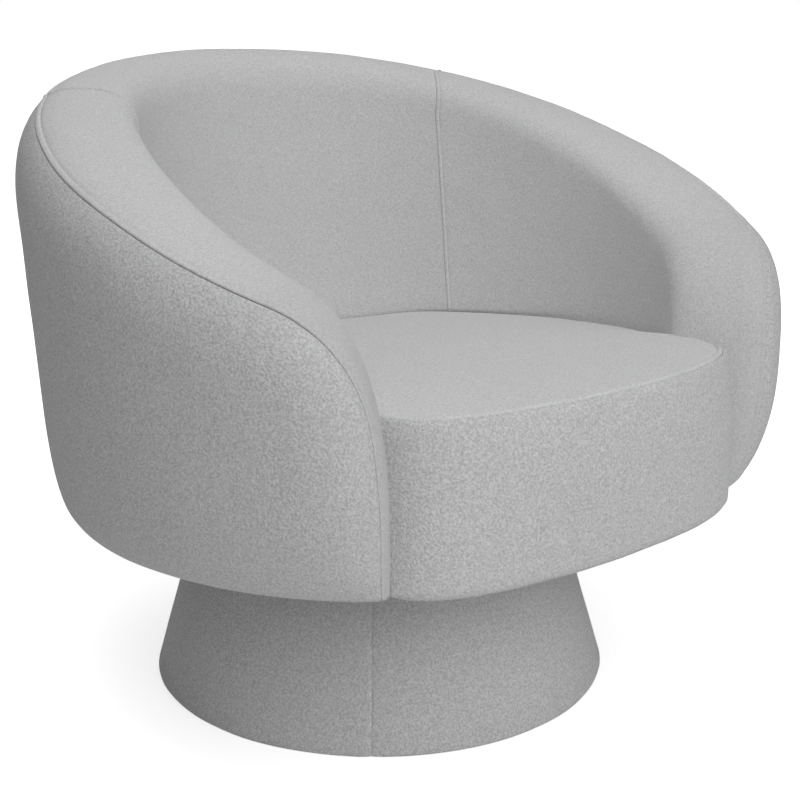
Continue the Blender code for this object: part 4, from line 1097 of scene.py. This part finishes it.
def base_grid(seams):
    """The cone's cover: lines down its side, with a turned-over rim and a turned-under hem."""
    slope = (BASE_RADIUS - BASE_TOP_RADIUS) / (BASE_TOP - BASE_BOTTOM)
    half = pi * BASE_RADIUS
    steps = [half - step for step in spaced(half, BASE_ROWS)]
    around = [-step for step in steps] + steps[-2::-1]
    profile = [(BASE_TOP_RADIUS - BASE_HEM, BASE_TOP - BASE_EASE)]
    for lean in (0, radians(30), radians(60)):
        lip = (BASE_LIP * (1 - sin(lean)), BASE_LIP * (1 - cos(lean)))
        profile.append((BASE_TOP_RADIUS - lip[0], BASE_TOP - lip[1]))
    for height in evenly(BASE_TOP - BASE_LIP, COVER_FOOT + BASE_EASE, BASE_COLUMNS):
        profile.append((BASE_RADIUS - slope * (height - BASE_BOTTOM), height))
    profile += [(BASE_RADIUS - BASE_CORNER, COVER_FOOT), (BASE_RADIUS - BASE_HEM, COVER_FOOT)]
    rows = []
    for distance in around:
        angle = BASE_SEAM + pi + distance / BASE_RADIUS
        beside = half - abs(distance)
        line = []
        for radius, height in profile:
            sunk = radius - seam_sink(beside, seams) - BASE_SEAM_PULL * bell(beside, BASE_SEAM_WIDTH)
            place = Vector((sunk * cos(angle), sunk * sin(angle), height))
            line.append((place, Vector((distance, height)), beside))
        rows.append(line)
    return rows


def wall_core(place):
    """A point inside the wall below a point of its surface."""
    around = Vector((place.x, place.y - TUB_CENTRE_Y)).normalized() * (TUB_RADIUS - 0.06)
    return Vector((around.x, around.y + TUB_CENTRE_Y, place.z - 0.03))


# Stitches

def edge_place(arc, step, sink):
    """A point of the rounded edge at a distance from the outer seam, and the direction out of it."""
    crest = CREST.at(arc)
    low, high = seam_turn(arc), 0.0
    start = wall_point(*section(crest, low))
    for _ in range(12):
        turn = (low + high) / 2
        if (wall_point(*section(crest, turn)) - start).length < step:
            low = turn
        else:
            high = turn
    place = wall_point(*section(crest, low, sink))
    return place, (wall_point(*section(crest, low)) - wall_point(*section(crest, low, PROBE))).normalized()


def outer_stitch_line(seams, first, last):
    """Places and directions along the outer seam's felled band."""
    step = seams.fell - STITCH_INSET
    sink = fell_sink(step, seams)
    return [edge_place(arc, step, tightness(arc) * sink) for arc in evenly(first, last, OUTER_STITCH_STEPS)]


def inner_stitch_line(seams, pull):
    """Places and directions along the felled band beside an inner seam, over the rim and down the wall."""
    beside = seams.fell - STITCH_INSET
    crest = CREST.at(SEAM_ARC + beside)
    sink = pull * fell_sink(beside, seams)
    pairs = []
    for turn in evenly(STITCH_START * seam_turn(SEAM_ARC), QUARTER, RIM_STITCH_STEPS):
        pairs.append([wall_point(*section(crest, turn, depth)) for depth in (sink, sink + PROBE)])
    run, height = section(crest, QUARTER)[:2]
    for level in evenly(height, SEAT_BACK_HEIGHT + STITCH_CLEAR, WALL_STITCH_STEPS)[1:]:
        along = drifted(run, FOOT_DRIFT * (height - level) / (height - DECK_TOP))
        pairs.append([inner_point(along, level, depth) for depth in (sink, sink + PROBE)])
    return [(place, (place - below).normalized()) for place, below in pairs]


def seat_stitch_line(seams):
    """Places and directions along the felled band behind the seat's front seam."""
    step, start = seams.fell - STITCH_INSET, seams.edge * HALF_ROUND
    line = []
    for u in evenly(1, -1, RIM_STITCH_STEPS):
        point = seat_front(u, seam_level(u))
        reach = (point.xy - SEAT_CENTRE).length - start
        place = turned_in(top_place(point, step + start), step, reach, u, seams)
        line.append((place, Vector((0, -0.15, 1)).normalized()))
    return line


def sew(bm, line, cloth, seams, seed):
    """Lay stitches along a line at an even pitch, half sunk in the cloth."""
    beside = seams.fell - STITCH_INSET
    travelled, due = 0.0, seams.stitch_pitch / 2
    for (near, out), (far, _) in zip(line, line[1:]):
        span = (far - near).length
        while due <= travelled + span and span > 0:
            way = (far - near).normalized()
            place = near + way * (due - travelled)
            place += out * (uneven(place, beside, cloth, seams, seed) + THREAD_PROUD * seams.thread)
            side = way.cross(out).normalized()
            turned = Matrix((way, side, out)).transposed().to_4x4()
            size = Matrix.Diagonal((seams.stitch / 2, seams.thread / 2, seams.thread / 2, 1))
            bmesh.ops.create_icosphere(
                bm, subdivisions=1, radius=1, matrix=Matrix.Translation(place) @ turned @ size)
            due += seams.stitch_pitch
        travelled += span


def flipped(line):
    return [(place * MIRROR, out * MIRROR) for place, out in line]


def hang_lamp(name, size, power, place):
    """A round studio lamp that faces the seat."""
    lamp = bpy.data.lights.new(name, "AREA")
    lamp.shape = "DISK"
    lamp.size = size
    lamp.energy = power
    item = bpy.data.objects.new(name, lamp)
    bpy.context.scene.collection.objects.link(item)
    item.location = place
    item.rotation_euler = (LAMP_AIM - item.location).to_track_quat("-Z", "Y").to_euler()


# Steps of the build

class TUBCHAIR_OT_outer(bpy.types.Operator):
    """Sew the outer panel round the back and both arms"""

    bl_idname = "tubchair.outer"
    bl_label = "Outer Panel"

    def execute(self, context):
        cloth, seams = settings(context)
        grids = [whole(rows) for rows in outer_grids(seams)]
        panel = sewn("outer", grids, context, wall_core)
        # The outer panel takes the darkest copy of the cloth, with painted shade.
        dress(panel, upholstery(cloth, "brushed"), "fabric", "tub", "outer_cover", "outer_padding")
        return {"FINISHED"}


class TUBCHAIR_OT_inner(bpy.types.Operator):
    """Sew the back's inner panel and the two arms' inner panels"""

    bl_idname = "tubchair.inner"
    bl_label = "Inner Panels"

    def execute(self, context):
        cloth, seams = settings(context)
        halves = zip(back_grids(seams, seams.left_pull), back_grids(seams, seams.right_pull))
        grids = [mirrored(left)[:-1] + right for left, right in halves]
        panel = sewn("back", grids, context, wall_core)
        dress(panel, upholstery(cloth, "rubbed"), "fabric", "tub", "back_cover", "back_pad", "back_roll")
        for arm, turn, pull in (
            ("left_arm", mirrored, seams.left_pull), ("right_arm", list, seams.right_pull)):
            grids = [turn(rows) for rows in arm_grids(seams, pull)]
            panel = sewn(arm, grids, context, wall_core)
            nodes = [f"{arm}_{part}" for part in ("cover", "pad", "roll")]
            # The arms' inner covers take the copy with painted shade round their noses.
            dress(panel, upholstery(cloth, "turned"), "fabric", "tub", *nodes)
        return {"FINISHED"}


class TUBCHAIR_OT_seat(bpy.types.Operator):
    """Sew the seat's top and its front"""

    bl_idname = "tubchair.seat"
    bl_label = "Seat"

    def execute(self, context):
        cloth, seams = settings(context)
        grid = whole(seat_grid(seams)[::-1])[::-1]
        panel = sewn("seat", [grid], context, lambda p: p - Vector((0, 0, 0.1)))
        dress(panel, upholstery(cloth, "rubbed"), "fabric", "tub", "seat_top_cover", "seat_foam")
        grid = whole(front_grid(seams))
        panel = sewn("seat_front", [grid], context, lambda p: p + Vector((0, 0.1, 0)))
        # The seat's front takes a darker copy of the cloth, with painted shade.
        dress(panel, upholstery(cloth), "fabric", "tub", "seat_front_cover", "front_pad")
        return {"FINISHED"}


class TUBCHAIR_OT_base(bpy.types.Operator):
    """Sew the cover of the cone base"""

    bl_idname = "tubchair.base"
    bl_label = "Base Cover"

    def execute(self, context):
        cloth, seams = settings(context)
        period = 2 * pi * BASE_RADIUS
        cover = sewn("base", [base_grid(seams)], context, lambda p: Vector((0, 0, p.z)), period)
        dress(cover, upholstery(cloth, "upright"), "fabric", "base", "base_cover", "base_padding")
        return {"FINISHED"}


class TUBCHAIR_OT_stitches(bpy.types.Operator):
    """Topstitch the felled seams"""

    bl_idname = "tubchair.stitches"
    bl_label = "Topstitching"

    def execute(self, context):
        cloth, seams = settings(context)
        thread = thread_finish(cloth)
        rim = outer_stitch_line(seams, 0.0, SEAM_ARC)
        arm = outer_stitch_line(seams, SEAM_ARC + seams.fell, CREST.end - 0.004)
        left_inner = inner_stitch_line(seams, seams.left_pull)
        right_inner = inner_stitch_line(seams, seams.right_pull)
        for kind, lines in (
            ("back", (rim, flipped(rim))),
            ("right_arm", (arm, right_inner)),
            ("left_arm", (flipped(arm), flipped(left_inner))),
            ("seat", (seat_stitch_line(seams),)),
        ):
            bm = bmesh.new()
            for line in lines:
                sew(bm, line, cloth, seams, SEEDS[kind])
            dress(new_piece(f"{kind}_stitches", bm), thread, "fabric", "tub")
        return {"FINISHED"}


class TUBCHAIR_OT_frame(bpy.types.Operator):
    """Finish the boards, foams, plates, bolts, glides and dust covers"""

    bl_idname = "tubchair.frame"
    bl_label = "Frame Finishes"

    def execute(self, context):
        finishes = {
            "foam": foam_finish(),
            "plywood": plywood_finish(),
            "steel": steel_finish(),
            "nylon": dark_finish(
                "black_nylon", 0.45, 500, 0.00015, (0.02, 0.02, 0.021), (0.045, 0.045, 0.047)),
            "lining": dark_finish(
                "felted_lining", 0.9, 1400, 0.0003, (0.012, 0.012, 0.013), (0.05, 0.05, 0.052)),
        }
        slots = {part["node"]: part["material_slot"] for part in frame["record"]["subparts"]}
        for name, item in frame["nodes"].items():
            # Cloth parts of the frame take the seat front's darker copy, with painted shade.
            finish = finishes.get(slots[name]) or upholstery(context.scene.chair_cloth)
            if item.material_slots:
                for holder in item.material_slots:
                    holder.material = finish
            else:
                item.data.materials.append(finish)
        return {"FINISHED"}


class TUBCHAIR_OT_studio(bpy.types.Operator):
    """Set up the floor, the lamps, the even light and the camera"""

    bl_idname = "tubchair.studio"
    bl_label = "Studio"

    def execute(self, context):
        scene, studio = context.scene, context.scene.chair_studio
        bm = bmesh.new()
        bmesh.ops.create_grid(bm, x_segments=1, y_segments=1, size=FLOOR_REACH)
        floor = new_piece("floor", bm)
        floor.data.materials.append(floor_finish(studio))
        hang_lamp("front_lamp", FRONT_LAMP_SIZE, studio.key, FRONT_LAMP)
        hang_lamp("back_lamp", LAMP_SIZE, studio.back, BACK_LAMP)
        hang_lamp("top_lamp", LAMP_SIZE, studio.top, TOP_LAMP)

        world = bpy.data.worlds.new("studio_air")
        world.use_nodes = True
        scene.world = world
        tree = world.node_tree
        tree.nodes.clear()
        seen = add(tree, "LightPath").outputs
        lit = maths(tree, "MAXIMUM", seen["Is Camera Ray"], seen["Is Transmission Ray"])
        towards = add(tree, "SeparateXYZ", Vector=add(tree, "TexCoord").outputs["Generated"])
        height = maths(tree, "MAXIMUM", towards.outputs["Z"], 0)
        soft = maths(tree, "MULTIPLY_ADD", height, SKY_ABOVE * studio.fill, SKY_LEVEL * studio.fill)
        air = add(tree, "Background", Color=(1, 1, 1), Strength=maths(tree, "MAXIMUM", lit, soft))
        add(tree, "OutputWorld", Surface=air.outputs["Background"])
        scene.view_settings.view_transform = "Standard"

        view = bpy.data.cameras.new("camera")
        view.lens = studio.lens
        view.sensor_width = 36
        camera = bpy.data.objects.new("camera", view)
        scene.collection.objects.link(camera)
        turned = CAMERA_AXES.transposed().to_4x4()
        camera.matrix_world = Matrix.Translation(CAMERA_PLACE) @ turned
        scene.camera = camera
        return {"FINISHED"}


STEPS = (
    TUBCHAIR_OT_outer, TUBCHAIR_OT_inner, TUBCHAIR_OT_seat, TUBCHAIR_OT_base,
    TUBCHAIR_OT_stitches, TUBCHAIR_OT_frame, TUBCHAIR_OT_studio,
)


class TUBCHAIR_PT_build(bpy.types.Panel):
    """Settings and steps of the chair's upholstery"""

    bl_idname = "TUBCHAIR_PT_build"
    bl_label = "Swivel Tub Chair"
    bl_space_type = "VIEW_3D"
    bl_region_type = "UI"
    bl_category = "Tub Chair"

    def draw(self, context):
        for label, group in (
            ("Cloth", context.scene.chair_cloth),
            ("Seams", context.scene.chair_seams),
            ("Studio", context.scene.chair_studio),
        ):
            box = self.layout.box()
            box.label(text=label)
            for name in type(group).__annotations__:
                box.prop(group, name)
        steps = self.layout.column(align=True)
        for step in STEPS:
            steps.operator(step.bl_idname)


CLASSES = (ChairCloth, ChairSeams, ChairStudio, *STEPS, TUBCHAIR_PT_build)


def register():
    for kind in CLASSES:
        bpy.utils.register_class(kind)
    bpy.types.Scene.chair_cloth = bpy.props.PointerProperty(type=ChairCloth)
    bpy.types.Scene.chair_seams = bpy.props.PointerProperty(type=ChairSeams)
    bpy.types.Scene.chair_studio = bpy.props.PointerProperty(type=ChairStudio)


def unregister():
    del bpy.types.Scene.chair_studio
    del bpy.types.Scene.chair_seams
    del bpy.types.Scene.chair_cloth
    for kind in reversed(CLASSES):
        bpy.utils.unregister_class(kind)


def main():
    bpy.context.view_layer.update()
    register()
    bpy.ops.tubchair.outer()
    bpy.ops.tubchair.inner()
    bpy.ops.tubchair.seat()
    bpy.ops.tubchair.base()
    bpy.ops.tubchair.stitches()
    bpy.ops.tubchair.frame()
    bpy.ops.tubchair.studio()


if __name__ == "__main__":
    main()
